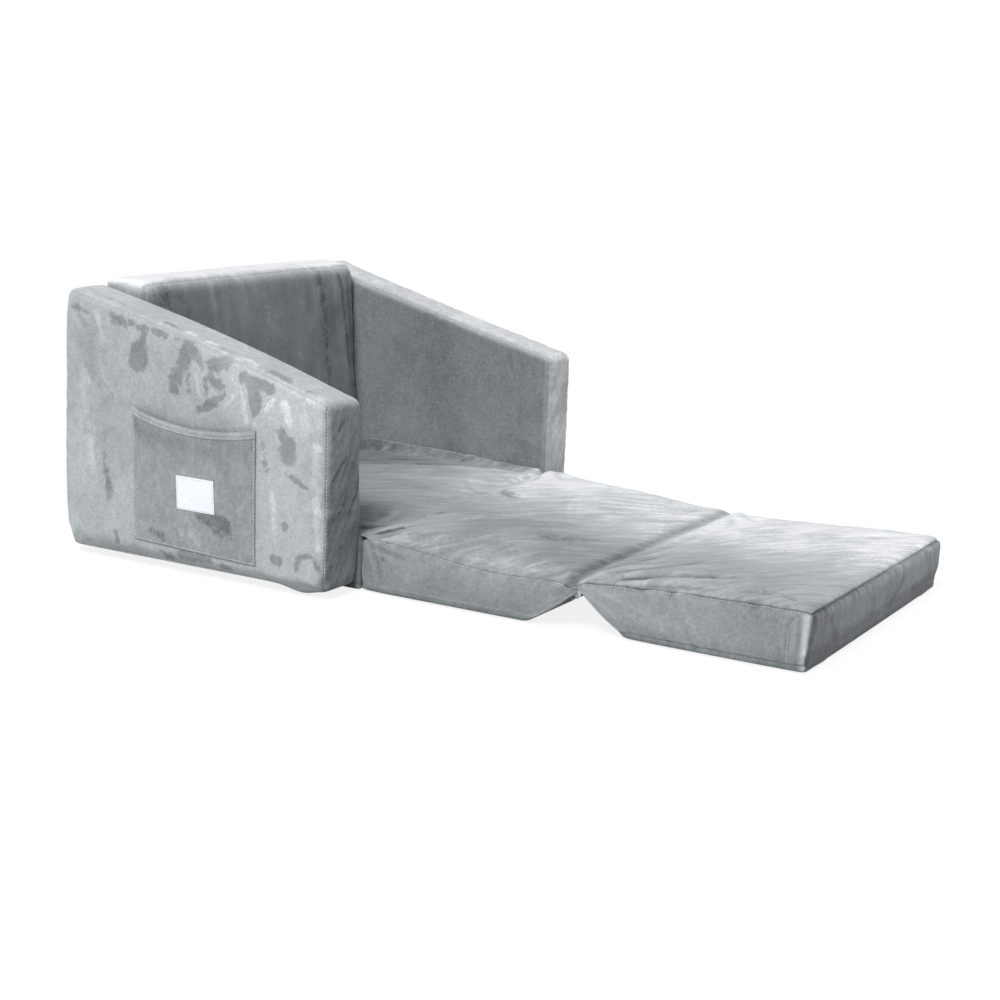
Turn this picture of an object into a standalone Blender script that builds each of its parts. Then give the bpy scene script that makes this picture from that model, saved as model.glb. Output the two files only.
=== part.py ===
"""A child's flip-out foam sofa bed, opened flat on the floor, at its real size in metres.

Two arm panels and a back panel stand round a base cushion. The bed's middle and foot cushions lie in
front of it. The middle one flips back over the base, and the foot one then stands against the back.
Each cushion is a block of foam in a zip-off cover, and a soft panel pocket is sewn to the left arm.

+Z is up and +Y points to the back of the sofa. The origin is on the floor, under the middle of the sofa.
"""

import math

import bmesh
import bpy
from mathutils import Matrix, Vector
from mathutils.bvhtree import BVHTree

# Sofa sizes, from seam to seam
sofa_width = 0.780
sofa_depth = 0.512
arm_thickness = 0.088
arm_front_height = 0.299
arm_rear_height = 0.434
arm_ridge_rise = 0.010
back_height = 0.441
back_top_thickness = 0.086
back_foot_thickness = 0.112
panel_lift = 0.012

# Bed sizes, from seam to seam
bed_thickness = 0.088
middle_length = 0.369
foot_length = 0.355
fold_dip = 0.0195
fold_axis_drop = 0.0075
mitre_run = 0.087
hinge_gap = 0.012
hinge_rise = 0.013
bed_side_clearance = 0.007
base_back_gap = 0.006
apex_overreach = 0.0092

# Fit and fabric
joint_gap = 0.0003
patch_gap = 0.0006
cover_wall = 0.002
flat_cut = 0.0005

# How far from an edge each rounding starts
seam_rounding = 0.018
corner_rounding = 0.045
crest_rounding = 0.030

# How far the faces bow out, and how far a long seam is drawn in between its corners
seat_top_crown = 0.0115
foot_top_crown = 0.0050
seam_sag = 0.0080
panel_top_crown = 0.010
panel_face_crown = 0.004
back_face_crown = 0.004
bed_side_crown = 0.002
seam_draw = 0.002

# Zips
zip_tape_width = 0.020
zip_tape_thickness = 0.0014
zip_coil_width = 0.005
zip_coil_height = 0.0018
zip_slider_length = 0.012
zip_slider_width = 0.009
zip_slider_height = 0.0036
zip_slider_bevel = 0.0006
zip_end_margin = 0.004
zip_coil_sides = 6
arm_zip_foot_height = 0.055
arm_zip_top_inset = 0.085
back_zip_height = 0.062
back_zip_side_inset = 0.052
bed_zip_side_inset = 0.055
cut_overrun = 0.004

# Hinge fabric between the bed's sections
hinge_web_thickness = 0.0015
hinge_web_slack = 0.003
hinge_web_steps = 6
fold_web_height = 0.012

# Pocket and its blank label on the left arm
pocket_front_inset = 0.132
pocket_foot_height = 0.039
pocket_width = 0.241
pocket_height = 0.223
pocket_depth = 0.0100
pocket_mouth_sag = 0.015
pocket_mouth_slope = 0.011
pocket_wall = 0.0014
hem_height = 0.011
hem_thickness = 0.0022
label_width = 0.070
label_height = 0.053
label_thickness = 0.0006
label_front_inset = 0.073
label_foot_height = 0.072
pocket_columns = 10
pocket_rows = 7
label_columns = 4
label_rows = 3

# How faces bow out and where the shading keeps an edge
bow_power = 4
dome_shares = (0.25, 0.75)
sharp_angle = math.radians(40)

# Places that follow from the sizes
front_y = -sofa_depth / 2
rear_y = sofa_depth / 2
arm_inner_x = sofa_width / 2 - arm_thickness
inner_half_width = arm_inner_x - joint_gap
bed_half_width = arm_inner_x - bed_side_clearance
back_foot_y = rear_y - back_foot_thickness
back_top_y = rear_y - back_top_thickness
base_rear_y = back_foot_y - base_back_gap
middle_rear_y = front_y - hinge_gap
fold_y = middle_rear_y - middle_length
foot_end_y = fold_y - foot_length
flip_axis = Vector((0, front_y - hinge_gap / 2, bed_thickness + hinge_rise))
fold_seam_z = bed_thickness - fold_dip
fold_axis = Vector((0, fold_y, fold_seam_z - fold_axis_drop))
arm_zip_length = arm_rear_height - arm_zip_foot_height - arm_zip_top_inset
back_zip_length = 2 * (inner_half_width - back_zip_side_inset)
bed_zip_length = 2 * (bed_half_width - bed_zip_side_inset)

for leftover in list(bpy.data.objects):
    bpy.data.objects.remove(leftover)

sofa = bpy.data.collections.new("sofa_bed")
cutters = bpy.data.collections.new("cutters")
for collection in (sofa, cutters):
    bpy.context.scene.collection.children.link(collection)


# Materials

def make_material(name, colour, roughness, metallic=0.0):
    """A plain Principled material of one colour."""
    material = bpy.data.materials.new(name)
    material.use_nodes = True
    shader = material.node_tree.nodes["Principled BSDF"]
    shader.inputs["Base Color"].default_value = (*colour, 1.0)
    shader.inputs["Roughness"].default_value = roughness
    shader.inputs["Metallic"].default_value = metallic
    material.diffuse_color = (*colour, 1.0)
    return material


plush = make_material("grey_plush", (0.34, 0.37, 0.39), 0.9)
foam = make_material("foam", (0.82, 0.78, 0.62), 1.0)
zip_tape = make_material("zip_tape", (0.25, 0.27, 0.29), 0.7)
zip_metal = make_material("zip_metal", (0.45, 0.46, 0.47), 0.35, 1.0)
label_cloth = make_material("label_cloth", (0.85, 0.87, 0.90), 0.8)


def add_object(name, mesh, material, home=sofa):
    """Puts a mesh in the scene as one named piece."""
    piece = bpy.data.objects.new(name, mesh)
    mesh.materials.append(material)
    home.objects.link(piece)
    return piece


def add_pivot(name, place, carrier=None):
    """An empty on a hinge's axis, which carries the pieces that turn with it."""
    pivot = bpy.data.objects.new(name, None)
    sofa.objects.link(pivot)
    pivot.location = place
    bpy.context.view_layer.update()
    if carrier:
        carry(carrier, pivot)
    return pivot


def carry(pivot, *pieces):
    """Parents pieces to a pivot and leaves them where they are."""
    bpy.context.view_layer.update()
    for piece in pieces:
        piece.parent = pivot
        piece.matrix_parent_inverse = pivot.matrix_world.inverted()


def mesh_of(name, shape):
    """Turns a bmesh into a mesh and frees it."""
    mesh = bpy.data.meshes.new(name)
    shape.to_mesh(mesh)
    shape.free()
    return mesh


# Cushions: a coarse cage, smoothed, gives a skin. The cover is a shell under it and the foam fills it.

def bow(share):
    """1 in the middle of a face and 0 at its edges, nearly level between."""
    return 1 - (2 * share - 1) ** bow_power


def cushion_cage(name, side_xs, outline, cuts, crowns, ridge=0.0, sinks=(0.0, 0.0), sag=0.0):
    """A box of coarse faces fitted to a cushion's side outline.

    outline is its rear foot, rear top, front top and front foot as (y, z). cuts are the shares of its
    width, length and height where the cage is cut. crowns are how far the left, right, rear, front and
    top faces bow out. sinks are how far the rear and front top edges lie below the top. sag is how far
    the left and right top seams hang between their ends.
    """
    cage = bmesh.new()
    bmesh.ops.create_cube(cage, size=1.0, matrix=Matrix.Translation((0.5, 0.5, 0.5)))
    for axis, shares in enumerate(cuts):
        for share in shares:
            normal = Vector((0, 0, 0))
            normal[axis] = 1
            everything = cage.verts[:] + cage.edges[:] + cage.faces[:]
            bmesh.ops.bisect_plane(cage, geom=everything, plane_co=normal * share, plane_no=normal)
    left, right, rear, front, top = crowns
    rear_foot, rear_top, front_top, front_foot = [Vector(point) for point in outline]
    for corner in cage.verts:
        u, v, w = corner.co
        foot = rear_foot.lerp(front_foot, v)
        head = rear_top.lerp(front_top, v)
        y, z = foot.lerp(head, w)
        x = side_xs[0] + u * (side_xs[1] - side_xs[0])
        z += ridge * w * bow(v) - flat_cut * (1 - w)
        if v == 0:
            y += rear * bow(u) * bow(w)
            z -= sinks[0] * w
        if v == 1:
            y -= front * bow(u) * bow(w)
            z -= sinks[1] * w
        if w == 1:
            z += top * bow(u) * bow(v) - (sag * bow(v) if u in (0, 1) else 0)
        if u == 0:
            x += (seam_draw if w == 1 else 0) * bow(v) - left * bow(v) * bow(w)
        if u == 1:
            x -= (seam_draw if w == 1 else 0) * bow(v) - right * bow(v) * bow(w)
        corner.co = (x, y, z)
    piece = add_object(name, mesh_of(name, cage), plush, cutters)
    smooth = piece.modifiers.new("soft", "SUBSURF")
    smooth.levels = smooth.render_levels = 1
    return piece


def skin_of(cage, underside):
    """The smoothed cage as a bmesh of triangles, cut flat at the height of its underside."""
    bpy.context.view_layer.update()
    smoothed = cage.evaluated_get(bpy.context.evaluated_depsgraph_get())
    mesh = bpy.data.meshes.new_from_object(smoothed)
    skin = bmesh.new()
    skin.from_mesh(mesh)
    bpy.data.meshes.remove(mesh)
    bpy.data.objects.remove(cage)
    for point in skin.verts:
        point.co.z = max(point.co.z, underside)
    bmesh.ops.triangulate(skin, faces=skin.faces[:])
    bmesh.ops.recalc_face_normals(skin, faces=skin.faces[:])
    return skin


def drawn_in(skin, depth):
    """A copy of a skin that lies deeper, by depth measured square to its faces."""
    inner = skin.copy()
    inner.normal_update()
    places = [point.co - point.normal * depth * point.calc_shell_factor() for point in inner.verts]
    for point, place in zip(inner.verts, places):
        point.co = place
    return inner


def add_cover(name, skin):
    """A fabric shell with the skin as its outer face."""
    lining = drawn_in(skin, cover_wall)
    bmesh.ops.reverse_faces(lining, faces=lining.faces[:])
    shell = skin.copy()
    mesh = mesh_of(name, lining)
    shell.from_mesh(mesh)
    bpy.data.meshes.remove(mesh)
    return add_object(name, mesh_of(name, shell), plush)


def add_cushion(name, side_xs, outline, *cage_words, **cage_options):
    """The cover and the foam of one cushion, and the skin that both follow."""
    cage = cushion_cage(name + "_cage", side_xs, outline, *cage_words, **cage_options)
    skin = skin_of(cage, outline[0][1])
    cover = add_cover(name + "_cover", skin)
    core = drawn_in(skin, cover_wall + joint_gap)
    core_piece = add_object(name + "_foam", mesh_of(name + "_foam", core), foam)
    return cover, core_piece, skin


def edge_cuts(length, low_rounding, high_rounding, middle_shares=(0.5,)):
    """Shares of a length where its cage is cut: near both ends, and between them."""
    return (low_rounding / length, *middle_shares, 1 - high_rounding / length)


# Zips: each lies in a slot of its cover, and its slider runs along the coil.

def zip_profile():
    """The zip's section: a flat tape with the coil as a half-round ridge. x is across and z is out."""
    half_tape = zip_tape_width / 2 - joint_gap
    ridge = []
    for step in range(zip_coil_sides + 1):
        angle = math.pi * step / zip_coil_sides
        ridge.append((math.cos(angle) * zip_coil_width / 2, math.sin(angle) * zip_coil_height))
    return [(-half_tape, -zip_tape_thickness), (half_tape, -zip_tape_thickness), (half_tape, 0), *ridge,
            (-half_tape, 0)]


def slider_profile():
    """The slider's section: a cap with a channel for the coil."""
    half_width = zip_slider_width / 2
    half_channel = zip_coil_width / 2 + joint_gap
    roof = zip_coil_height + 2 * joint_gap
    top = zip_slider_height + joint_gap
    return [(half_channel, joint_gap), (half_width, joint_gap), (half_width, top), (-half_width, top),
            (-half_width, joint_gap), (-half_channel, joint_gap), (-half_channel, roof), (half_channel, roof)]


def extruded(profile, length):
    """A profile in x and z made solid along y, from 0 to length."""
    solid = bmesh.new()
    face = solid.faces.new([solid.verts.new((x, 0, z)) for x, z in profile])
    grown = bmesh.ops.extrude_face_region(solid, geom=[face])
    ends = [item for item in grown["geom"] if isinstance(item, bmesh.types.BMVert)]
    bmesh.ops.translate(solid, verts=ends, vec=(0, length, 0))
    bmesh.ops.recalc_face_normals(solid, faces=solid.faces[:])
    return solid


def zip_frame(start, along, out):
    """A matrix whose y runs along the zip from its closed end and whose z points out of the cover."""
    along, out = along.normalized(), out.normalized()
    frame = Matrix((along.cross(out), along, out)).transposed().to_4x4()
    return Matrix.Translation(start) @ frame


def add_zip(name, cover, start, along, out, length):
    """A zip in a slot of a cover, with its slider at the closed end."""
    frame = zip_frame(start, along, out)
    slot = bmesh.new()
    depth = 2 * cover_wall + cut_overrun
    stretch = Matrix.Diagonal((zip_tape_width, length, depth, 1))
    centre = Matrix.Translation((0, length / 2, cut_overrun - depth / 2))
    bmesh.ops.create_cube(slot, size=1.0, matrix=frame @ centre @ stretch)
    cutter = add_object(name + "_slot", mesh_of(name + "_slot", slot), plush, cutters)
    cutter.hide_render = True
    cutter.display_type = "WIRE"
    cut = cover.modifiers.new("zip slot", "BOOLEAN")
    cut.operation = "DIFFERENCE"
    cut.object = cutter

    tape = extruded(zip_profile(), length - 2 * joint_gap)
    tape.transform(frame @ Matrix.Translation((0, joint_gap, 0)))
    tape_piece = add_object(name, mesh_of(name, tape), zip_tape)

    body = extruded(slider_profile(), zip_slider_length)
    bmesh.ops.translate(body, verts=body.verts, vec=(0, -zip_slider_length / 2, 0))
    rim = [edge for edge in body.edges if all(point.co.z > zip_slider_height for point in edge.verts)]
    bmesh.ops.bevel(body, geom=rim, offset=zip_slider_bevel, segments=2, profile=0.5, affect="EDGES",
                    material=-1)
    slider = add_object(name + "_slider", mesh_of(name + "_slider", body), zip_metal)
    slider.matrix_world = frame @ Matrix.Translation((0, zip_end_margin + zip_slider_length / 2, 0))
    return tape_piece, slider


# Arms and back

arm_outline = [(rear_y, panel_lift), (rear_y, arm_rear_height), (front_y, arm_front_height),
               (front_y, panel_lift)]
arm_cuts = [
    edge_cuts(arm_thickness, seam_rounding, seam_rounding, ()),
    edge_cuts(sofa_depth, corner_rounding, corner_rounding),
    edge_cuts(arm_rear_height, corner_rounding, crest_rounding),
]
arm_skins = {}
for side, outer_sign in (("left", -1), ("right", 1)):
    outer_x = outer_sign * sofa_width / 2
    inner_x = outer_sign * arm_inner_x
    face_crowns = (panel_face_crown, 0) if outer_sign < 0 else (0, panel_face_crown)
    cover, core_piece, arm_skins[side] = add_cushion(
        side + "_arm", sorted((outer_x, inner_x)), arm_outline, arm_cuts,
        (*face_crowns, 0, bed_side_crown, panel_top_crown), ridge=arm_ridge_rise)
    add_zip(side + "_arm_zip", cover, Vector(((outer_x + inner_x) / 2, rear_y, arm_zip_foot_height)),
            Vector((0, 0, 1)), Vector((0, 1, 0)), arm_zip_length)

back_outline = [(rear_y, panel_lift), (rear_y, back_height), (back_top_y, back_height),
                (back_foot_y, panel_lift)]
back_cuts = [
    edge_cuts(2 * inner_half_width, corner_rounding, corner_rounding),
    edge_cuts(back_foot_thickness, seam_rounding, seam_rounding, ()),
    edge_cuts(back_height, corner_rounding, crest_rounding),
]
back_cover, back_core, back_skin = add_cushion(
    "back", (-inner_half_width, inner_half_width), back_outline, back_cuts,
    (0, 0, 0, back_face_crown, panel_top_crown))
add_zip("back_zip", back_cover, Vector((-back_zip_length / 2, rear_y, back_zip_height)),
        Vector((1, 0, 0)), Vector((0, 1, 0)), back_zip_length)

# Bed: the base between the arms, then the middle and the foot, mitred to fold against each other

base_outline = [(base_rear_y, 0), (base_rear_y, bed_thickness), (front_y, bed_thickness), (front_y, 0)]
base_cuts = [
    edge_cuts(2 * inner_half_width, seam_rounding, seam_rounding, dome_shares),
    edge_cuts(base_rear_y - front_y, seam_rounding, seam_rounding, dome_shares),
    edge_cuts(bed_thickness, seam_rounding, seam_rounding, ()),
]
base_cover, base_core, base_skin = add_cushion(
    "base", (-inner_half_width, inner_half_width), base_outline, base_cuts, (0, 0, 0, 0, seat_top_crown))
add_zip("base_zip", base_cover, Vector((-bed_zip_length / 2, base_rear_y, bed_thickness / 2)),
        Vector((1, 0, 0)), Vector((0, 1, 0)), bed_zip_length)

apex_y = fold_y - apex_overreach
middle_outline = [(middle_rear_y, 0), (middle_rear_y, bed_thickness), (apex_y, bed_thickness),
                  (apex_y + mitre_run, 0)]
middle_cuts = [
    edge_cuts(2 * bed_half_width, seam_rounding, seam_rounding, dome_shares),
    edge_cuts(middle_length, seam_rounding, corner_rounding, dome_shares),
    edge_cuts(bed_thickness, seam_rounding, seam_rounding, ()),
]
middle_cover, middle_core, middle_skin = add_cushion(
    "middle", (-bed_half_width, bed_half_width), middle_outline, middle_cuts,
    (bed_side_crown, bed_side_crown, 0, 0, seat_top_crown), sinks=(0, fold_dip), sag=seam_sag)

foot_apex_y = fold_y + apex_overreach
foot_outline = [(foot_apex_y - mitre_run, 0), (foot_apex_y, bed_thickness), (foot_end_y, bed_thickness),
                (foot_end_y, 0)]
foot_cuts = [
    edge_cuts(2 * bed_half_width, seam_rounding, seam_rounding, dome_shares),
    edge_cuts(foot_length, corner_rounding, seam_rounding, dome_shares),
    edge_cuts(bed_thickness, seam_rounding, seam_rounding, ()),
]
foot_cover, foot_core, foot_skin = add_cushion(
    "foot", (-bed_half_width, bed_half_width), foot_outline, foot_cuts,
    (bed_side_crown, bed_side_crown, 0, bed_side_crown, foot_top_crown), sinks=(fold_dip, 0))

middle_pivot = add_pivot("middle_pivot", flip_axis)
foot_pivot = add_pivot("foot_pivot", fold_axis, middle_pivot)
carry(middle_pivot, middle_cover, middle_core)
carry(foot_pivot, foot_cover, foot_core)

for name, cover, pivot, outward, edge_y in (
        ("middle_zip", middle_cover, middle_pivot, -1, apex_y),
        ("foot_zip", foot_cover, foot_pivot, 1, foot_apex_y)):
    mitre_middle = Vector((0, edge_y - outward * mitre_run / 2, (fold_seam_z - flat_cut) / 2))
    mitre_out = Vector((0, outward * (fold_seam_z + flat_cut), -mitre_run))
    closed_end = mitre_middle - Vector((bed_zip_length / 2, 0, 0))
    carry(pivot, *add_zip(name, cover, closed_end, Vector((1, 0, 0)), mitre_out, bed_zip_length))


# Hinge fabric between the sections

def arched_strip(name, low_y, high_y, height, half_width):
    """A slack strip of fabric across a gap, arched upwards, running along x."""
    strip = bmesh.new()
    lower, upper = [], []
    for step in range(hinge_web_steps + 1):
        share = step / hinge_web_steps
        y = low_y + share * (high_y - low_y)
        z = height + hinge_web_slack * math.sin(math.pi * share)
        lower.append((y, z))
        upper.append((y, z + hinge_web_thickness))
    outline = [strip.verts.new((-half_width, y, z)) for y, z in lower + upper[::-1]]
    face = strip.faces.new(outline)
    grown = bmesh.ops.extrude_face_region(strip, geom=[face])
    ends = [item for item in grown["geom"] if isinstance(item, bmesh.types.BMVert)]
    bmesh.ops.translate(strip, verts=ends, vec=(2 * half_width, 0, 0))
    bmesh.ops.recalc_face_normals(strip, faces=strip.faces[:])
    return add_object(name, mesh_of(name, strip), plush)


web_half_width = bed_half_width - corner_rounding
arched_strip("base_middle_hinge", middle_rear_y + joint_gap, front_y - joint_gap,
             bed_thickness - seam_rounding, web_half_width)

fold_front_y = max(point.co.y for point in foot_skin.verts) + joint_gap
fold_rear_y = min(point.co.y for point in middle_skin.verts) - joint_gap
fold_web = bmesh.new()
fold_size = Matrix.Diagonal((2 * web_half_width, fold_rear_y - fold_front_y, fold_web_height, 1))
fold_place = Matrix.Translation((0, (fold_rear_y + fold_front_y) / 2, fold_seam_z - fold_web_height / 2))
bmesh.ops.create_cube(fold_web, size=1.0, matrix=fold_place @ fold_size)
carry(middle_pivot, add_object("middle_foot_hinge", mesh_of("middle_foot_hinge", fold_web), plush))


# Pocket: cloth patches that follow the left arm's outer face, each further out than the last

arm_surface = BVHTree.FromBMesh(arm_skins["left"])
pocket_front_y = front_y + pocket_front_inset


def arm_face_x(y, z):
    """Where the left arm's outer face is, at a height and depth."""
    hit = arm_surface.ray_cast(Vector((-sofa_width, y, z)), Vector((1, 0, 0)))[0]
    return hit.x


def stand_off(across, up):
    """How far the pocket's cloth stands off the arm: closed at the foot and sides, open at the mouth."""
    return pocket_depth * bow(across) * math.sin(math.pi / 2 * min(max(up, 0), 1)) ** 0.5


def pocket_mouth(across):
    """Height of the pocket's top edge above its foot: it slopes down to the front and sags between."""
    slope = pocket_mouth_slope * (1 - across)
    return pocket_height - slope - pocket_mouth_sag * (1 - (2 * across - 1) ** 2)


def cloth_patch(name, across_range, height_range, layers_out, thickness, material, columns, rows):
    """A patch of cloth on the pocket's curve. across runs 0 at the front edge to 1 at the rear edge.

    height_range gives the patch's lower and upper edge above the pocket's foot, as functions of across.
    """
    patch = bmesh.new()
    bmesh.ops.create_grid(patch, x_segments=columns, y_segments=rows, size=0.5)
    for point in patch.verts:
        across = across_range[0] + (point.co.x + 0.5) * (across_range[1] - across_range[0])
        low, high = height_range[0](across), height_range[1](across)
        height = low + (point.co.y + 0.5) * (high - low)
        y = pocket_front_y + across * pocket_width
        z = pocket_foot_height + height
        x = arm_face_x(y, z) - patch_gap - stand_off(across, height / pocket_height) - layers_out
        point.co = (x, y, z)
    bmesh.ops.recalc_face_normals(patch, faces=patch.faces[:])
    if sum(face.normal.x for face in patch.faces) > 0:
        bmesh.ops.reverse_faces(patch, faces=patch.faces[:])
    piece = add_object(name, mesh_of(name, patch), material)
    wall = piece.modifiers.new("cloth", "SOLIDIFY")
    wall.thickness = thickness
    wall.offset = 1
    wall.use_even_offset = True
    return piece


cloth_patch("left_arm_pocket", (0, 1), (lambda across: 0, pocket_mouth), 0, pocket_wall, plush,
            pocket_columns, pocket_rows)
over_pocket = pocket_wall + joint_gap
cloth_patch("left_arm_pocket_hem", (0, 1), (lambda across: pocket_mouth(across) - hem_height, pocket_mouth),
            over_pocket, hem_thickness, plush, pocket_columns, 1)
label_start = label_front_inset / pocket_width
label_end = label_start + label_width / pocket_width
cloth_patch("left_arm_label", (label_start, label_end),
            (lambda across: label_foot_height, lambda across: label_foot_height + label_height),
            over_pocket, label_thickness, label_cloth, label_columns, label_rows)

for skin in (*arm_skins.values(), back_skin, base_skin, middle_skin, foot_skin):
    skin.free()
for piece in sofa.objects:
    if piece.type == "MESH":
        piece.data.shade_smooth()
        piece.data.set_sharp_from_angle(angle=sharp_angle)
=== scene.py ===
# %% [markdown]
# # A child's flip-out foam sofa bed, opened flat
#
# The real thing is six blocks of foam in zip-off plush covers. Two arm panels and a back stand round a
# base cushion, and the middle and foot cushions of the bed lie in front of it. This notebook dresses a
# working frame of that sofa: it gives every cushion its swollen, sewn and creased form, and its plush.
# The frame gives the places and the joints, so nothing here is moved to fit.

import math

import bmesh
import bpy
import numpy as np
from mathutils import Matrix, Vector, noise
from mathutils.bvhtree import BVHTree


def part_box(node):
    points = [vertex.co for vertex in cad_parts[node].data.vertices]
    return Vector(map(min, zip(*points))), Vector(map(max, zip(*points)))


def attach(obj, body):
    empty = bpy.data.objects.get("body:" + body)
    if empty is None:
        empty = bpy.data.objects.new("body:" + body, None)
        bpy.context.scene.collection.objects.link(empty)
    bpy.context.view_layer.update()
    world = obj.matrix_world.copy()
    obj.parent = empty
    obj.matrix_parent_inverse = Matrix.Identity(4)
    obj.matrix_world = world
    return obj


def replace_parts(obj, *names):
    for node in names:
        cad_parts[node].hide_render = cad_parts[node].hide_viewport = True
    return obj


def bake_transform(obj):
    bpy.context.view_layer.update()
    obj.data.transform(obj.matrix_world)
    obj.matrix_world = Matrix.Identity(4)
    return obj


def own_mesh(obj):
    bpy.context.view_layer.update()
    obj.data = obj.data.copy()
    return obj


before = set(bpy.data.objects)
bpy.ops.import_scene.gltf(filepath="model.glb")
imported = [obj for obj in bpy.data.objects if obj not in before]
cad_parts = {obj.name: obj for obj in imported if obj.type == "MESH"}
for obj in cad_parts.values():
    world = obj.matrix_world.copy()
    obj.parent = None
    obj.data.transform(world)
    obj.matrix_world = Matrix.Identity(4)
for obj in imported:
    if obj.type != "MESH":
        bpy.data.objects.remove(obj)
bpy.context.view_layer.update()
scene = bpy.context.scene

# %% [markdown]
# ## Camera
#
# The photo was taken from the left front, a little above the arms, with a long lens, and the camera was
# turned by about two degrees. A camera looks along its own -Z, so its matrix is made of three
# directions: to the right, up, and back towards the photographer.

# %% Camera
camera_place = Vector((-2.6745, -1.8531, 0.7778))
camera_azimuth = math.radians(-60.430)
camera_elevation = math.radians(12.359)
camera_roll = math.radians(2.161)
lens_length = 68.10

to_camera = Vector((
    math.sin(camera_azimuth) * math.cos(camera_elevation),
    -math.cos(camera_azimuth) * math.cos(camera_elevation),
    math.sin(camera_elevation),
))
level_right = (-to_camera).cross(Vector((0, 0, 1))).normalized()
level_up = level_right.cross(-to_camera)
turned_right = level_right * math.cos(camera_roll) + level_up * math.sin(camera_roll)
turned_up = level_up * math.cos(camera_roll) - level_right * math.sin(camera_roll)
camera = bpy.data.objects.new("camera", bpy.data.cameras.new("camera"))
scene.collection.objects.link(camera)
camera_turn = Matrix((turned_right, turned_up, to_camera)).transposed().to_4x4()
camera.matrix_world = Matrix.Translation(camera_place) @ camera_turn
camera.data.lens = lens_length
scene.camera = camera
print("camera to sofa:", round(camera_place.length, 2), "m")

# %% [markdown]
# ## Light, floor and backdrop
#
# The photo's light falls from the left and above: the faces that look left and the tops are pale, and
# the faces that look to the front are dark. A wide sun gives the soft shadows, a weak one from the
# right rear keeps the far sides readable, and the world fills in. The floor takes the object's shadow,
# and for rays from the camera it is lifted towards white.

# %% Sun lamps
def add_sun(name, toward, strength, softness):
    """A sun that shines from a direction, with an angle that softens its shadows."""
    lamp = bpy.data.objects.new(name, bpy.data.lights.new(name, "SUN"))
    lamp.data.energy = strength
    lamp.data.angle = math.radians(softness)
    lamp.rotation_euler = Vector(toward).to_track_quat("Z", "Y").to_euler()
    scene.collection.objects.link(lamp)
    print(name, "of strength", strength)


add_sun("key light", (-0.62, -0.10, 0.78), 3.9, 24)
add_sun("far fill", (0.75, 0.55, 0.50), 0.6, 60)


# %% Helpers for shader nodes
def add_math(tree, operation, first, second):
    """A math node on two values, each a socket or a number."""
    node = tree.nodes.new("ShaderNodeMath")
    node.operation = operation
    for socket, value in zip(node.inputs, (first, second)):
        if isinstance(value, bpy.types.NodeSocket):
            tree.links.new(value, socket)
        else:
            socket.default_value = value
    return node.outputs[0]


def plain_shader(tree, kind, colour, strength=None):
    """A shader of one colour, with a strength if it gives light."""
    node = tree.nodes.new(kind)
    node.inputs["Color"].default_value = (*colour, 1.0)
    if strength is not None:
        node.inputs["Strength"].default_value = strength
    return node.outputs[0]


def seen_rays(tree):
    """A value that is 1 for rays from the camera, and for those that metal or glass send on."""
    rays = tree.nodes.new("ShaderNodeLightPath").outputs
    first = add_math(tree, "MAXIMUM", rays["Is Camera Ray"], rays["Is Glossy Ray"])
    return add_math(tree, "MAXIMUM", first, rays["Is Transmission Ray"])


def mix_to_output(tree, kind, share, first, second):
    """Mixes two shaders by a share, and joins them to an output of the tree."""
    mix = tree.nodes.new("ShaderNodeMixShader")
    for socket, value in zip(mix.inputs, (share, first, second)):
        tree.links.new(value, socket)
    tree.links.new(mix.outputs[0], tree.nodes.new(kind).inputs["Surface"])


# %% World
world_strength = 0.30
white = (1.0, 1.0, 1.0)

world = bpy.data.worlds.new("studio")
world.use_nodes = True
scene.world = world
world_tree = world.node_tree
world_tree.nodes.clear()
mix_to_output(world_tree, "ShaderNodeOutputWorld", seen_rays(world_tree),
              plain_shader(world_tree, "ShaderNodeBackground", (0.99, 0.99, 1.0), world_strength),
              plain_shader(world_tree, "ShaderNodeBackground", white, 1.0))
print("world of strength", world_strength)


# %% Floor
def mesh_of(name, shape):
    """A mesh made from a bmesh, which is freed."""
    mesh = bpy.data.meshes.new(name)
    shape.to_mesh(mesh)
    shape.free()
    return mesh


def new_piece(name, mesh, material=None):
    """Puts a mesh in the scene as an object."""
    if material:
        mesh.materials.append(material)
    piece = bpy.data.objects.new(name, mesh)
    scene.collection.objects.link(piece)
    return piece


floor_size = 60.0
floor_colour = (0.80, 0.80, 0.80)
floor_lift = 0.86
floor_clear_from, floor_clear_to = 0.9, 2.6

floor_material = bpy.data.materials.new("pale floor")
floor_material.use_nodes = True
floor_tree = floor_material.node_tree
floor_tree.nodes.clear()
floor_place = floor_tree.nodes.new("ShaderNodeTexCoord").outputs["Object"]
floor_distance = floor_tree.nodes.new("ShaderNodeVectorMath")
floor_distance.operation = "LENGTH"
floor_tree.links.new(floor_place, floor_distance.inputs[0])
floor_whiter = floor_tree.nodes.new("ShaderNodeMapRange")
for socket_name, value in (("From Min", floor_clear_from), ("From Max", floor_clear_to),
                           ("To Min", floor_lift), ("To Max", 1.0)):
    floor_whiter.inputs[socket_name].default_value = value
floor_tree.links.new(floor_distance.outputs["Value"], floor_whiter.inputs["Value"])
floor_share = add_math(floor_tree, "MULTIPLY", seen_rays(floor_tree), floor_whiter.outputs["Result"])
mix_to_output(floor_tree, "ShaderNodeOutputMaterial", floor_share,
              plain_shader(floor_tree, "ShaderNodeBsdfDiffuse", floor_colour),
              plain_shader(floor_tree, "ShaderNodeEmission", white, 1.0))

floor_shape = bmesh.new()
bmesh.ops.create_grid(floor_shape, x_segments=1, y_segments=1, size=floor_size / 2)
floor = new_piece("floor", mesh_of("floor", floor_shape), floor_material)
print("floor:", floor_size, "m square")

scene.view_settings.view_transform = "Standard"

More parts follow.
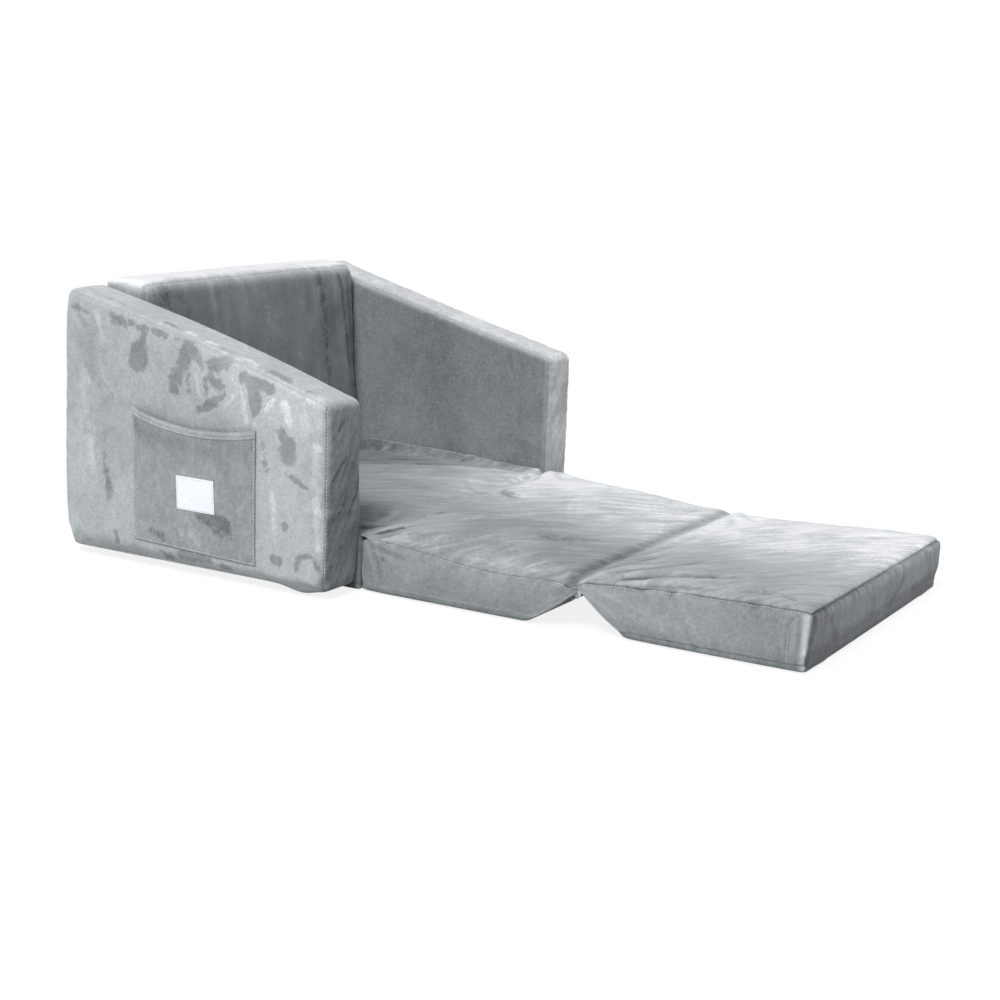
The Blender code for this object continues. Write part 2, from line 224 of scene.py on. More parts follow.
# %% [markdown]
# ## Plush
#
# The covers are short-pile plush. Its fibres lie one way or the other wherever a hand or a neighbour has
# brushed them, and they look pale or dark by turns: that is the mottled look of the photo. So its
# colour is a tone from dark to pale blue-grey, and the tone is a sum. One part is painted on each
# cushion's points, as the attribute nap, with the tone of its panels, and it holds painted light and
# shade as well: faces are paler or darker by the way they look towards the light, creases are darker by
# their depth, and shaded hollows get painted light. A second attribute, mark, holds soft spots where a
# hand has pressed and the painted light and shade of some wrinkles and edges, and a node group gives them
# the ragged edges of crushed pile. The other parts are noise patterns: wide patches with soft edges, long
# streaks, and the fine pile. The patterns are node groups, so that every fabric here can use them with
# its own numbers.

# %% Helpers for node groups
def new_group(name, inputs, outputs):
    """An empty node group with named sockets, given as (name, kind, start value)."""
    tree = bpy.data.node_groups.new(name, "ShaderNodeTree")
    for socket_name, kind, value in inputs:
        socket = tree.interface.new_socket(name=socket_name, in_out="INPUT", socket_type=kind)
        if value is not None:
            socket.default_value = value
    for socket_name, kind in outputs:
        tree.interface.new_socket(name=socket_name, in_out="OUTPUT", socket_type=kind)
    return tree, tree.nodes.new("NodeGroupInput"), tree.nodes.new("NodeGroupOutput")


def add_scaled(tree, tone, value, strength):
    """A tone plus a value times a strength, each a socket or a number."""
    return add_math(tree, "ADD", tone, add_math(tree, "MULTIPLY", value, strength))


def add_noise(tree, vector, scale, detail, distortion=0.0):
    """A noise texture; scale is a socket or a number of features in a metre."""
    node = tree.nodes.new("ShaderNodeTexNoise")
    node.inputs["Detail"].default_value = detail
    node.inputs["Distortion"].default_value = distortion
    tree.links.new(vector, node.inputs["Vector"])
    if isinstance(scale, bpy.types.NodeSocket):
        tree.links.new(scale, node.inputs["Scale"])
    else:
        node.inputs["Scale"].default_value = scale
    return node.outputs["Fac"]


def add_stretch(tree, vector, factors):
    """A vector scaled along each axis, so that a pattern on it is drawn out."""
    node = tree.nodes.new("ShaderNodeVectorMath")
    node.operation = "MULTIPLY"
    node.inputs[1].default_value = factors
    tree.links.new(vector, node.inputs[0])
    return node.outputs[0]


def add_ramp(tree, value, low, high):
    """A value mapped smoothly to 0 at low and 1 at high."""
    node = tree.nodes.new("ShaderNodeMapRange")
    node.interpolation_type = "SMOOTHSTEP"
    tree.links.new(value, node.inputs["Value"])
    node.inputs["From Min"].default_value = low
    node.inputs["From Max"].default_value = high
    return node.outputs["Result"]


# %% Node group for the brushed nap
nap_group, nap_in, nap_out = new_group(
    "brushed nap",
    [("Vector", "NodeSocketVector", None), ("Scale", "NodeSocketFloat", 9.0),
     ("Grain Axis", "NodeSocketVector", (0.0, 0.0, 1.0)), ("Grain Turn", "NodeSocketFloat", 0.0),
     ("Grain Scale", "NodeSocketFloat", 60.0)],
    [("Patches", "NodeSocketFloat"), ("Streaks", "NodeSocketFloat"), ("Cloud", "NodeSocketFloat")])
patch_noise = add_noise(nap_group, nap_in.outputs["Vector"], nap_in.outputs["Scale"], 4.0, 1.1)
where_noise = add_noise(nap_group, nap_in.outputs["Vector"], 4.2, 1.0)
patch_edge = add_ramp(nap_group, patch_noise, 0.50, 0.62)
patch_zone = add_ramp(nap_group, where_noise, 0.44, 0.62)
grain = nap_group.nodes.new("ShaderNodeVectorRotate")
grain.rotation_type = "AXIS_ANGLE"
for socket_name, group_name in (("Vector", "Vector"), ("Axis", "Grain Axis"), ("Angle", "Grain Turn")):
    nap_group.links.new(nap_in.outputs[group_name], grain.inputs[socket_name])
streak_vector = add_stretch(nap_group, grain.outputs[0], (1.0, 0.14, 0.8))
streak_noise = add_noise(nap_group, streak_vector, nap_in.outputs["Grain Scale"], 4.0, 0.5)
nap_group.links.new(add_math(nap_group, "MULTIPLY", patch_edge, patch_zone), nap_out.inputs["Patches"])
nap_group.links.new(add_ramp(nap_group, streak_noise, 0.36, 0.68), nap_out.inputs["Streaks"])
cloud_noise = add_noise(nap_group, nap_in.outputs["Vector"], 3.1, 5.0, 0.4)
nap_group.links.new(add_ramp(nap_group, cloud_noise, 0.32, 0.68), nap_out.inputs["Cloud"])
print(nap_group.name, "puts out", [socket.name for socket in nap_out.inputs if socket.name])

# %% Node groups for hand marks and painted light and shade of wrinkles, and the pile
mark_group, mark_in, mark_out = new_group(
    "hand marks",
    [("Vector", "NodeSocketVector", None), ("Mark", "NodeSocketFloat", 0.0)],
    [("Dark", "NodeSocketFloat"), ("Pale", "NodeSocketFloat")])
mark_wobble = add_noise(mark_group, mark_in.outputs["Vector"], 62.0, 5.0, 0.7)
mark_wobble = add_math(mark_group, "MULTIPLY", add_math(mark_group, "SUBTRACT", mark_wobble, 0.5), 0.95)
for mark_name, mark_sign in (("Dark", -1.0), ("Pale", 1.0)):
    mark_value = add_scaled(mark_group, mark_wobble, mark_in.outputs["Mark"], mark_sign)
    mark_group.links.new(add_ramp(mark_group, mark_value, 0.25, 0.53), mark_out.inputs[mark_name])

pile_group, pile_in, pile_out = new_group(
    "short pile",
    [("Vector", "NodeSocketVector", None), ("Fibre Scale", "NodeSocketFloat", 900.0)],
    [("Fleck", "NodeSocketFloat"), ("Height", "NodeSocketFloat")])
fibre_noise = add_noise(pile_group, pile_in.outputs["Vector"], pile_in.outputs["Fibre Scale"], 2.0)
tuft_scale = add_math(pile_group, "MULTIPLY", pile_in.outputs["Fibre Scale"], 0.22)
tuft_noise = add_noise(pile_group, pile_in.outputs["Vector"], tuft_scale, 3.0, 0.8)
pile_group.links.new(add_ramp(pile_group, tuft_noise, 0.30, 0.70), pile_out.inputs["Fleck"])
pile_group.links.new(add_scaled(pile_group, fibre_noise, tuft_noise, 1.6), pile_out.inputs["Height"])
print("node groups:", len(bpy.data.node_groups))


# %% Helpers for materials
def add_group(tree, group, vector, **values):
    """A node group placed in a material, fed with a vector and its own values."""
    node = tree.nodes.new("ShaderNodeGroup")
    node.node_tree = group
    tree.links.new(vector, node.inputs["Vector"])
    for name, value in values.items():
        node.inputs[name.replace("_", " ").title()].default_value = value
    return node


def new_material(name, roughness):
    """A material with a bare Principled shader."""
    material = bpy.data.materials.new(name)
    material.use_nodes = True
    shader = material.node_tree.nodes["Principled BSDF"]
    shader.inputs["Roughness"].default_value = roughness
    return material, material.node_tree, shader


def object_vector(tree):
    """Coordinates in metres from the origin of the piece."""
    return tree.nodes.new("ShaderNodeTexCoord").outputs["Object"]


def add_bump(tree, shader, height, strength, distance):
    """Fine relief from a height value."""
    node = tree.nodes.new("ShaderNodeBump")
    node.inputs["Strength"].default_value = strength
    node.inputs["Distance"].default_value = distance
    tree.links.new(height, node.inputs["Height"])
    tree.links.new(node.outputs["Normal"], shader.inputs["Normal"])


def add_tones(tree, shader, value, stops):
    """A colour ramp from (place, colour) stops to the base colour."""
    node = tree.nodes.new("ShaderNodeValToRGB")
    ramp = node.color_ramp
    while len(ramp.elements) < len(stops):
        ramp.elements.new(0.5)
    for element, (place, colour) in zip(ramp.elements, stops):
        element.position = place
        element.color = (*colour, 1.0)
    tree.links.new(value, node.inputs["Fac"])
    tree.links.new(node.outputs["Color"], shader.inputs["Base Color"])


# %% Plush materials
plush_tones = [
    (0.00, (0.032, 0.038, 0.040)),
    (0.25, (0.118, 0.131, 0.137)),
    (0.50, (0.232, 0.250, 0.260)),
    (0.75, (0.382, 0.401, 0.415)),
    (1.00, (0.720, 0.734, 0.748)),
]
dark_mark, pale_mark, fleck = 0.23, 0.11, 0.10


def make_plush(name, patches, streaks, cloud, grain_axis, grain_turn, grain_scale):
    """Grey plush. patches, streaks and cloud are how strongly each pattern changes the tone.

    The grain is the way in which the streaks run: along Y after a turn about an axis.
    """
    material, tree, shader = new_material(name, 0.95)
    shader.inputs["Sheen Weight"].default_value = 0.45
    shader.inputs["Sheen Roughness"].default_value = 0.42
    shader.inputs["Sheen Tint"].default_value = (0.93, 0.96, 1.0, 1.0)
    shader.inputs["Specular IOR Level"].default_value = 0.12
    vector = object_vector(tree)
    nap = add_group(tree, nap_group, vector, grain_axis=grain_axis, grain_turn=math.radians(grain_turn),
                    grain_scale=grain_scale)
    pile = add_group(tree, pile_group, vector)
    # The attributes nap and mark hold painted light and shade as well as the plush's own tone and marks.
    painted, marked, combed = [tree.nodes.new("ShaderNodeAttribute") for _ in range(3)]
    painted.attribute_name, marked.attribute_name, combed.attribute_name = "nap", "mark", "grain"
    marks = add_group(tree, mark_group, vector)
    tree.links.new(marked.outputs["Fac"], marks.inputs["Mark"])
    tone = add_scaled(tree, painted.outputs["Fac"], marks.outputs["Dark"], -dark_mark)
    tone = add_scaled(tree, tone, marks.outputs["Pale"], pale_mark)
    streak = add_math(tree, "MULTIPLY", add_math(tree, "SUBTRACT", nap.outputs["Streaks"], 0.5), streaks)
    tone = add_scaled(tree, tone, streak, combed.outputs["Fac"])
    for output, strength in ((nap.outputs["Patches"], -patches), (nap.outputs["Cloud"], cloud),
                             (pile.outputs["Fleck"], fleck)):
        tone = add_scaled(tree, tone, add_math(tree, "SUBTRACT", output, 0.5), strength)
    add_tones(tree, shader, tone, plush_tones)
    add_bump(tree, shader, pile.outputs["Height"], 0.55, 0.0009)
    return material


arm_plush = make_plush("plush of the arms", 0.06, 0.13, 0.12, (0.862, 0, -0.507), 80, 80.0)
back_plush = make_plush("plush of the back", 0.14, 0.10, 0.16, (1, 0, 0), 84, 34.0)
bed_plush = make_plush("plush of the bed", 0.06, 0.15, 0.16, (0, 0, 1), 130.8, 95.0)
print("plush tones:", len(plush_tones))

# %% [markdown]
# ## How a cushion is made
#
# A cushion starts as a cube that is cut into a fine grid, closer at its edges. Rounding, a side outline
# and crowned faces turn it into the foam's shape. Blender's Cloth then blows the cover up with a little
# pressure while the seams shrink, which draws the small folds that run out from a seam. The movement is
# capped, so the cushion keeps its place. One subdivision follows, and then relief in code: the groove
# of each seam, its puckers, slow waves, the creases that the photo shows, and a level bed for the zip.

# %% The grid
edge_steps = (0.0, 0.0024, 0.0052, 0.0088, 0.0132, 0.0186)


def cut_places(length, spacing):
    """Where a cushion's grid is cut along a length: close near both ends and even between."""
    steps = np.array(edge_steps)
    count = max(2, round((length - 2 * steps[-1]) / spacing))
    middle = np.linspace(steps[-1], length - steps[-1], count + 1)[1:-1]
    return np.concatenate([steps, middle, (length - steps)[::-1]])


def gridded_cube(counts):
    """A unit cube whose faces are cut into counts cells along X, Y and Z."""
    shape = bmesh.new()
    bmesh.ops.create_cube(shape, size=1.0, matrix=Matrix.Translation((0.5, 0.5, 0.5)))
    for axis, count in enumerate(counts):
        along = [edge for edge in shape.edges
                 if abs(edge.verts[0].co[axis] - edge.verts[1].co[axis]) > 0.5]
        bmesh.ops.subdivide_edges(shape, edges=along, cuts=count - 1, use_grid_fill=True)
    return shape


# %% Soft curves, and points as arrays
def bow(share, power=4):
    """1 in the middle of a face and 0 at its edges, nearly level between."""
    return 1 - np.abs(2 * np.clip(share, 0, 1) - 1) ** power


def ease(value, low, high):
    """0 below low and 1 above high, with a smooth step between."""
    share = np.clip((value - low) / (high - low), 0, 1)
    return share * share * (3 - 2 * share)


def bump(value, centre, spread):
    """1 at a centre and fading to both sides."""
    return np.exp(-((value - centre) / spread) ** 2)


def points_of(mesh):
    """A mesh's points as an array."""
    found = np.empty(len(mesh.vertices) * 3, np.float32)
    mesh.vertices.foreach_get("co", found)
    return found.reshape(-1, 3).astype(float)


def set_points(mesh, points):
    """Moves a mesh's points."""
    mesh.vertices.foreach_set("co", points.astype(np.float32).ravel())
    mesh.update()


def noise_of(points, scale, seed):
    """Smooth noise from -1 to 1 at each point, with scale features in a metre."""
    shift = Vector((seed * 3.7, seed * 1.3, seed * 5.1))
    return np.array([noise.noise(Vector(point) * scale + shift) for point in points])


# %% Cloth
cloth_frames, cloth_pressure, seam_shrink = 20, 3.0, 0.03


def blow_up(piece, cap, seam_group, held_group):
    """Swells a cover with Blender's Cloth and returns how far each point moved, at most by cap."""
    start = points_of(piece.data)
    cloth = piece.modifiers.new("swelling", "CLOTH")
    rules = cloth.settings
    rules.quality = 5
    rules.mass = 0.3
    rules.tension_stiffness = 12
    rules.compression_stiffness = 12
    rules.shear_stiffness = 4
    rules.bending_stiffness = 0.35
    rules.use_pressure = True
    rules.uniform_pressure_force = cloth_pressure
    rules.vertex_group_shrink = seam_group
    rules.shrink_max = seam_shrink
    rules.vertex_group_mass = held_group
    rules.effector_weights.gravity = 0
    cloth.collision_settings.use_collision = False
    for step in range(1, cloth_frames + 1):
        scene.frame_set(step)
    graph = bpy.context.evaluated_depsgraph_get()
    swollen = points_of(piece.evaluated_get(graph).data)
    piece.modifiers.remove(cloth)
    scene.frame_set(1)
    move = swollen - start
    length = np.linalg.norm(move, axis=1, keepdims=True)
    return move * np.minimum(1, cap / np.maximum(length, 1e-9))


# %% Seams and their relief
def seam_facts(place, sizes, seam_axis, low_seam):
    """Distance of each point to its nearest seam, and how far along that seam it lies.

    The seams run round the two panels that face along seam_axis. place is where a point lies in the
    box that the cushion was before it was shaped. The lower seam can lie low_seam up the sides.
    """
    gaps = np.minimum(place, sizes - place)
    others = [axis for axis in range(3) if axis != seam_axis]
    if low_seam:
        from_low = np.where(place[:, seam_axis] == 0, low_seam + gaps[:, others].min(axis=1),
                            np.abs(place[:, seam_axis] - low_seam))
        gaps[:, seam_axis] = np.minimum(from_low, sizes[seam_axis] - place[:, seam_axis])
    nearest = np.where(gaps[:, others[0]] < gaps[:, others[1]], 0, 1)
    distance = np.maximum(gaps[:, seam_axis], np.minimum(gaps[:, others[0]], gaps[:, others[1]]))
    run = np.where(nearest == 0, place[:, others[1]], place[:, others[0]])
    side = np.where(place[:, seam_axis] > sizes[seam_axis] / 2, 7.0, 0.0) + 3.0 * nearest
    across = np.where(nearest == 0, place[:, others[0]], place[:, others[1]])
    side = side + 1.7 * (across > 0.05)
    return distance, run, side


# %% Creases
def crease_relief(points, creases):
    """Depth of listed creases, each a list of points with a depth and a width.

    The points of a crease only need to be near the surface: each is moved to the middle of the surface's
    nearest points.
    """
    total = np.zeros(len(points))
    for route, depth, width in creases:
        route = np.array(route, float)
        cuts = np.linspace(0, len(route) - 1, 5 * len(route) - 4)
        route = np.stack([np.interp(cuts, range(len(route)), route[:, axis]) for axis in range(3)], axis=1)
        gaps = [((points - spot) ** 2).sum(axis=1) for spot in route]
        route = np.array([points[np.argpartition(gap, 8)[:8]].mean(axis=0) for gap in gaps])
        steps = np.linalg.norm(np.diff(route, axis=0), axis=1)
        reach = steps.sum()
        nearest = np.full(len(points), 1e9)
        along = np.zeros(len(points))
        done = 0.0
        for start, end, step in zip(route[:-1], route[1:], steps):
            share = np.clip(((points - start) @ (end - start)) / max(step ** 2, 1e-12), 0, 1)
            gap = np.linalg.norm(points - (start + share[:, None] * (end - start)), axis=1)
            closer = gap < nearest
            nearest = np.where(closer, gap, nearest)
            along = np.where(closer, (done + share * step) / reach, along)
            done += step
        fade = np.sqrt(np.clip(np.sin(np.pi * np.clip(along * 0.96 + 0.02, 0, 1)), 0, 1))
        valley = np.exp(-(nearest / width) ** 2)
        shoulder = np.exp(-((nearest - 2.1 * width) / (1.1 * width)) ** 2)
        total += fade * depth * (0.45 * shoulder - valley)
    return total


# %% Relief beside the seams
pucker_count, pucker_reach = 62.0, 0.017
groove_width, puff_reach = 0.0026, 0.009


def seam_relief(distance, run, side, groove, puff, pucker, seed):
    """Relief beside the seams: a groove, the panel that swells over it, and puckers that run out."""
    spots = np.stack([run * pucker_count, side, distance * 9.0], axis=1)
    folds = np.array([noise.noise(Vector(spot) + Vector((seed, 0, 0))) for spot in spots])
    where = np.array([noise.noise(Vector((spot[0] * 0.16, spot[1] + seed, 3.0))) for spot in spots])
    strength = np.clip(0.55 + 1.5 * where, 0.1, 1.5)
    fine = pucker * folds * strength * np.exp(-distance / pucker_reach)
    valley = groove * np.exp(-(distance / groove_width) ** 2)
    return fine - valley + puff * (1 - np.exp(-distance / puff_reach))


# %% Where the zips are
mitre_run, mitre_rise = 0.087, 0.0705
zip_depth = 0.0013
zip_bed_level, zip_bed_end = 0.012, 0.028
mitre_faces = {"middle_cushion": (0, -mitre_rise, -mitre_run), "foot_cushion": (0, mitre_rise, -mitre_run)}


def zip_ends(cushion_name):
    """The two ends of a cushion's zip, on its centre line, from the frame, and which way its face looks."""
    low, high = [np.array(corner, float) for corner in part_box(cushion_name.replace("cushion", "zip"))]
    centre, along = (low + high) / 2, np.argmax(high - low)
    start, end = centre.copy(), centre.copy()
    start[along], end[along] = low[along], high[along]
    out = np.array(mitre_faces.get(cushion_name, (0, 1, 0)), float)
    return start, end, out / np.linalg.norm(out)


# %% Hand marks, and the painted light and shade of wrinkles and edges
def brush(points, strokes):
    """How strongly each point is marked: below 0 is dark and above 0 is pale.

    A stroke has a start, an end, a width, and how strong it is in its middle.
    """
    dark, pale = np.zeros(len(points)), np.zeros(len(points))
    for start, end, width, strength in strokes:
        start, end = np.array(start, float), np.array(end, float)
        length = (end - start) @ (end - start)
        share = np.clip(((points - start) @ (end - start)) / max(length, 1e-12), 0, 1)
        gap = np.linalg.norm(points - (start + share[:, None] * (end - start)), axis=1)
        mark = strength * np.clip(1 - gap / width, 0, 1)
        dark, pale = np.minimum(dark, mark), np.maximum(pale, mark)
    return dark + pale


# %% Values kept on the points
def add_attribute(mesh, name, values, kind="FLOAT"):
    """Stores a value for each point of a mesh."""
    field = "vector" if kind == "FLOAT_VECTOR" else "value"
    layer = mesh.attributes.get(name) or mesh.attributes.new(name, kind, "POINT")
    layer.data.foreach_set(field, np.asarray(values, np.float32).ravel())


def read_vectors(mesh, name):
    """A vector attribute as an array."""
    found = np.empty(len(mesh.vertices) * 3, np.float32)
    mesh.attributes[name].data.foreach_get("vector", found)
    return found.reshape(-1, 3).astype(float)


# %% A rounded block
def shaped_block(name, x_range, outline, radii, shape, spacing, rear_crispness=0.0):
    """A rounded block as a mesh, with each point's place in the box before it was shaped.

    outline is the rear foot, rear top, front top and front foot as (y, z), from edge to edge. radii are
    how round the block is at its foot, at its upright edges, and at its front and rear top edges. With
    rear_crispness its rear end is less round towards the rear.
    """
    corners = np.array(outline, float)
    sizes = np.array((x_range[1] - x_range[0], np.linalg.norm(corners[1] - corners[2]),
                      max(corners[1][1], corners[2][1]) - corners[0][1]))
    places = [cut_places(size, spacing) for size in sizes]
    grid = gridded_cube([len(cuts) - 1 for cuts in places])
    bmesh.ops.reverse_faces(grid, faces=grid.faces[:])
    mesh = mesh_of(name, grid)
    shares = points_of(mesh)
    place = np.stack([cuts[np.rint(shares[:, axis] * (len(cuts) - 1)).astype(int)]
                      for axis, cuts in enumerate(places)], axis=1)
    foot_radius, side_radius, front_radius, rear_radius = radii
    top_radius = rear_radius + (front_radius - rear_radius) * ease(place[:, 1] / sizes[1], 0.3, 0.7)
    radius = foot_radius + (side_radius - foot_radius) * ease(place[:, 2], 0.010, 0.050)
    radius += (top_radius - radius) * ease(place[:, 2] / sizes[2], 0.3, 0.7)
    crisp = 1 - rear_crispness * ease(-place[:, 1] / sizes[1], -0.5, -0.2)
    radius = radius[:, None] * np.stack([np.ones(len(place)), crisp, np.ones(len(place))], axis=1)
    core = np.clip(place, radius, sizes - radius)
    away = (place - core) / radius
    rounded = core + away / np.linalg.norm(away, axis=1, keepdims=True) * radius
    u, v, w = (rounded / sizes).T
    foot = corners[0] + v[:, None] * (corners[3] - corners[0])
    head = corners[1] + v[:, None] * (corners[2] - corners[1])
    side = foot + w[:, None] * (head - foot)
    points = np.stack([x_range[0] + u * sizes[0], side[:, 0], side[:, 1]], axis=1)
    set_points(mesh, shape(points, u, v, w))
    return mesh, place, sizes


# %% One cushion from start to end
seam_held, zip_held, fold_held = 0.004, 0.020, 0.012
cover_spacing = 0.0072
slow_waves, quick_waves = 13.0, 38.0


class Cushion:
    """One stuffed piece while it is being made, and what the later steps ask of it."""

    def __init__(self, name, x_range, outline, seam_axis, radii, shape, low_seam=0.0, crispness=0.0):
        self.name, self.seam_axis, self.low_seam = name, seam_axis, low_seam
        self.recipe = x_range, outline, radii, shape
        mesh, place, self.sizes = shaped_block(name, *self.recipe, cover_spacing, crispness)
        add_attribute(mesh, "place", place, "FLOAT_VECTOR")
        self.piece = new_piece(name, mesh)

    def swell(self, cap, limits, hold_y=None):
        """Runs the cloth step with the underside and the zip held, then keeps the points inside limits.

        Points near hold_y, the line of a fold, are held as well.
        """
        mesh = self.piece.data
        place = read_vectors(mesh, "place")
        start = points_of(mesh)
        distance, _, _ = seam_facts(place, self.sizes, self.seam_axis, self.low_seam)
        seams = self.piece.vertex_groups.new(name="seams")
        held = self.piece.vertex_groups.new(name="held")
        seams.add(np.flatnonzero(distance < seam_held).tolist(), 1.0, "REPLACE")
        still = (place[:, 2] < 0.001) | (self.zip_gap(start) < zip_held)
        if hold_y is not None:
            still |= np.abs(start[:, 1] - hold_y) < fold_held
        held.add(np.flatnonzero(still).tolist(), 1.0, "REPLACE")
        moved = start + blow_up(self.piece, cap, "seams", "held")
        low, high = np.array(limits, float)
        low, high = np.minimum(low, start), np.maximum(high, start)
        set_points(mesh, np.clip(moved, low, high))
        self.piece.vertex_groups.clear()

    def zip_gap(self, points):
        """How far each point is from the line of the cushion's zip."""
        start, end, _ = zip_ends(self.name)
        share = np.clip(((points - start) @ (end - start)) / ((end - start) @ (end - start)), 0, 1)
        return np.linalg.norm(points - (start + share[:, None] * (end - start)), axis=1)

    def finish(self, groove, puff, pucker, waves, creases, seed, tone, flats=(), marks=()):
        """Subdivides once, and adds the relief, the zip's bed and the painted nap, which holds painted light
        and shade too.

        The bed's cushions are calmer at their right ends. flats are limits that no point passes, each an
        axis, the side it holds and its place.
        """
        smooth = self.piece.modifiers.new("smooth", "SUBSURF")
        smooth.levels = smooth.render_levels = 1
        graph = bpy.context.evaluated_depsgraph_get()
        fine = bpy.data.meshes.new_from_object(self.piece.evaluated_get(graph))
        self.piece.modifiers.remove(smooth)
        self.piece.data = fine
        fine.name = self.name
        points = points_of(fine)
        normals = np.array([point.normal for point in fine.vertices])
        place = read_vectors(fine, "place")
        distance, run, side = seam_facts(place, self.sizes, self.seam_axis, self.low_seam)
        calm = 1 - 0.6 * ease(points[:, 0], 0.20, 0.28) * (self.seam_axis == 2)
        relief = seam_relief(distance, run, side, groove, puff, pucker * calm, seed)
        relief += waves * noise_of(points, slow_waves, seed) * (1 - np.exp(-distance / 0.03))
        relief += 0.3 * waves * noise_of(points, quick_waves, seed + 1) * (1 - np.exp(-distance / 0.02))
        relief += crease_relief(points, creases)
        if self.low_seam:
            ahead = ease(-normals[:, 1], 0.4, 0.8) * (1 - ease(points[:, 2], 0.02, 0.04))
            relief *= (0.7 + 0.3 * ease(points[:, 2], 0.012, 0.03)) * (1 - 0.85 * ahead)
        grounded = np.clip(-normals[:, 2] * 1.3, 0, 1) ** 2
        points += normals * (relief * (1 - grounded))[:, None]
        start, _, out = zip_ends(self.name)
        bed = 1 - ease(self.zip_gap(points), zip_bed_level, zip_bed_end)
        bed *= ease(normals @ out, 0.4, 0.8)
        points -= (bed * ((points - start) @ out + zip_depth))[:, None] * out
        for axis, sign, limit in flats:
            bound = limit(points) if callable(limit) else np.full(len(points), limit)
            over = sign * (points[:, axis] - bound) > 0
            points[over, axis] = bound[over]
        set_points(fine, points)
        self.tone = tone
        # The nap attribute holds painted light and shade as well as the nap.
        add_attribute(fine, "nap", tone(points, normals, distance, relief))
        add_attribute(fine, "mark", brush(points, marks))
        combed = {0: 0.35 + 0.65 * np.clip(-normals[:, 1], 0, 1), 1: np.ones(len(points)),
                  2: 0.2 + 0.8 * ease(normals[:, 2], 0.2, 0.9)}[self.seam_axis]
        add_attribute(fine, "grain", combed)
        fine.shade_smooth()
        fine.attributes.remove(fine.attributes["place"])
        self.facts = points, normals, distance, run, side
        self.faces = BVHTree.FromPolygons([Vector(point) for point in points],
                                          [list(face.vertices) for face in fine.polygons])
        print(self.name, len(fine.polygons), "faces, highest", round(points[:, 2].max(), 4),
              "outward", round(float((normals * (points - points.mean(axis=0))).sum(axis=1).mean()), 3))

    def height_at(self, x, y):
        """The height of the cushion's top over a point of the floor."""
        spot = self.faces.ray_cast(Vector((x, y, 1.0)), Vector((0, 0, -1)))[0]
        return (spot or self.faces.find_nearest(Vector((x, y, 0.1)))[0]).z


# %% [markdown]
# ## Arms
#
# Each arm is a block with a sloping top. Two trapezoid panels are sewn to a strip that runs over the
# top and down the front, so the seams follow the outline of both side faces. The left arm's top bows up
# a little more than the right one's, its underside sags towards the floor at the front, and its inner
# front edge stands a little proud. The right arm is 6 mm thinner.

# %% Sizes of the sofa part
sofa_front, sofa_rear = -0.258, 0.256
arm_inner, arm_outer, right_arm_outer = 0.302, 0.390, 0.384
arm_foot, arm_front_top, arm_rear_top = 0.012, 0.303, 0.437
arm_radii, right_arm_radii = (0.016, 0.005, 0.013, 0.012), (0.020, 0.014, 0.014, 0.014)
print("arm heights:", arm_front_top - arm_foot, arm_rear_top - arm_foot)


# %% Shape of the arms
def arm_shape(ridge, outer_sign, underside_sag, proud):
    """How an arm's faces bow; outer_sign is -1 for the left arm, and proud moves its inner front edge out."""

    def shape(points, u, v, w):
        outer = (1 - u) if outer_sign < 0 else u
        points[:, 0] += outer_sign * 0.004 * outer * bow(v) * bow(w)
        zip_side = 1 - np.exp(-((u - 0.5) / 0.22) ** 2)
        points[:, 1] += 0.012 * ease(1 - v, 0.85, 1) * bow(w, 6) * zip_side
        points[:, 1] -= 0.002 * ease(v, 0.85, 1) * bow(w)
        points[:, 1] -= proud * ease(v, 0.90, 1) * (1 - outer) * ease(points[:, 2], 0.085, 0.120)
        points[:, 2] += w ** 3 * (ridge * bow(v, 2) + 0.0015 * bow(u, 2))
        points[:, 2] -= underside_sag * (1 - w) ** 6 * bump(points[:, 1], -0.205, 0.03) * bow(u)
        return points

    return shape


arm_outline = [(sofa_rear, arm_foot), (sofa_rear, arm_rear_top), (sofa_front, arm_front_top),
               (sofa_front, arm_foot)]

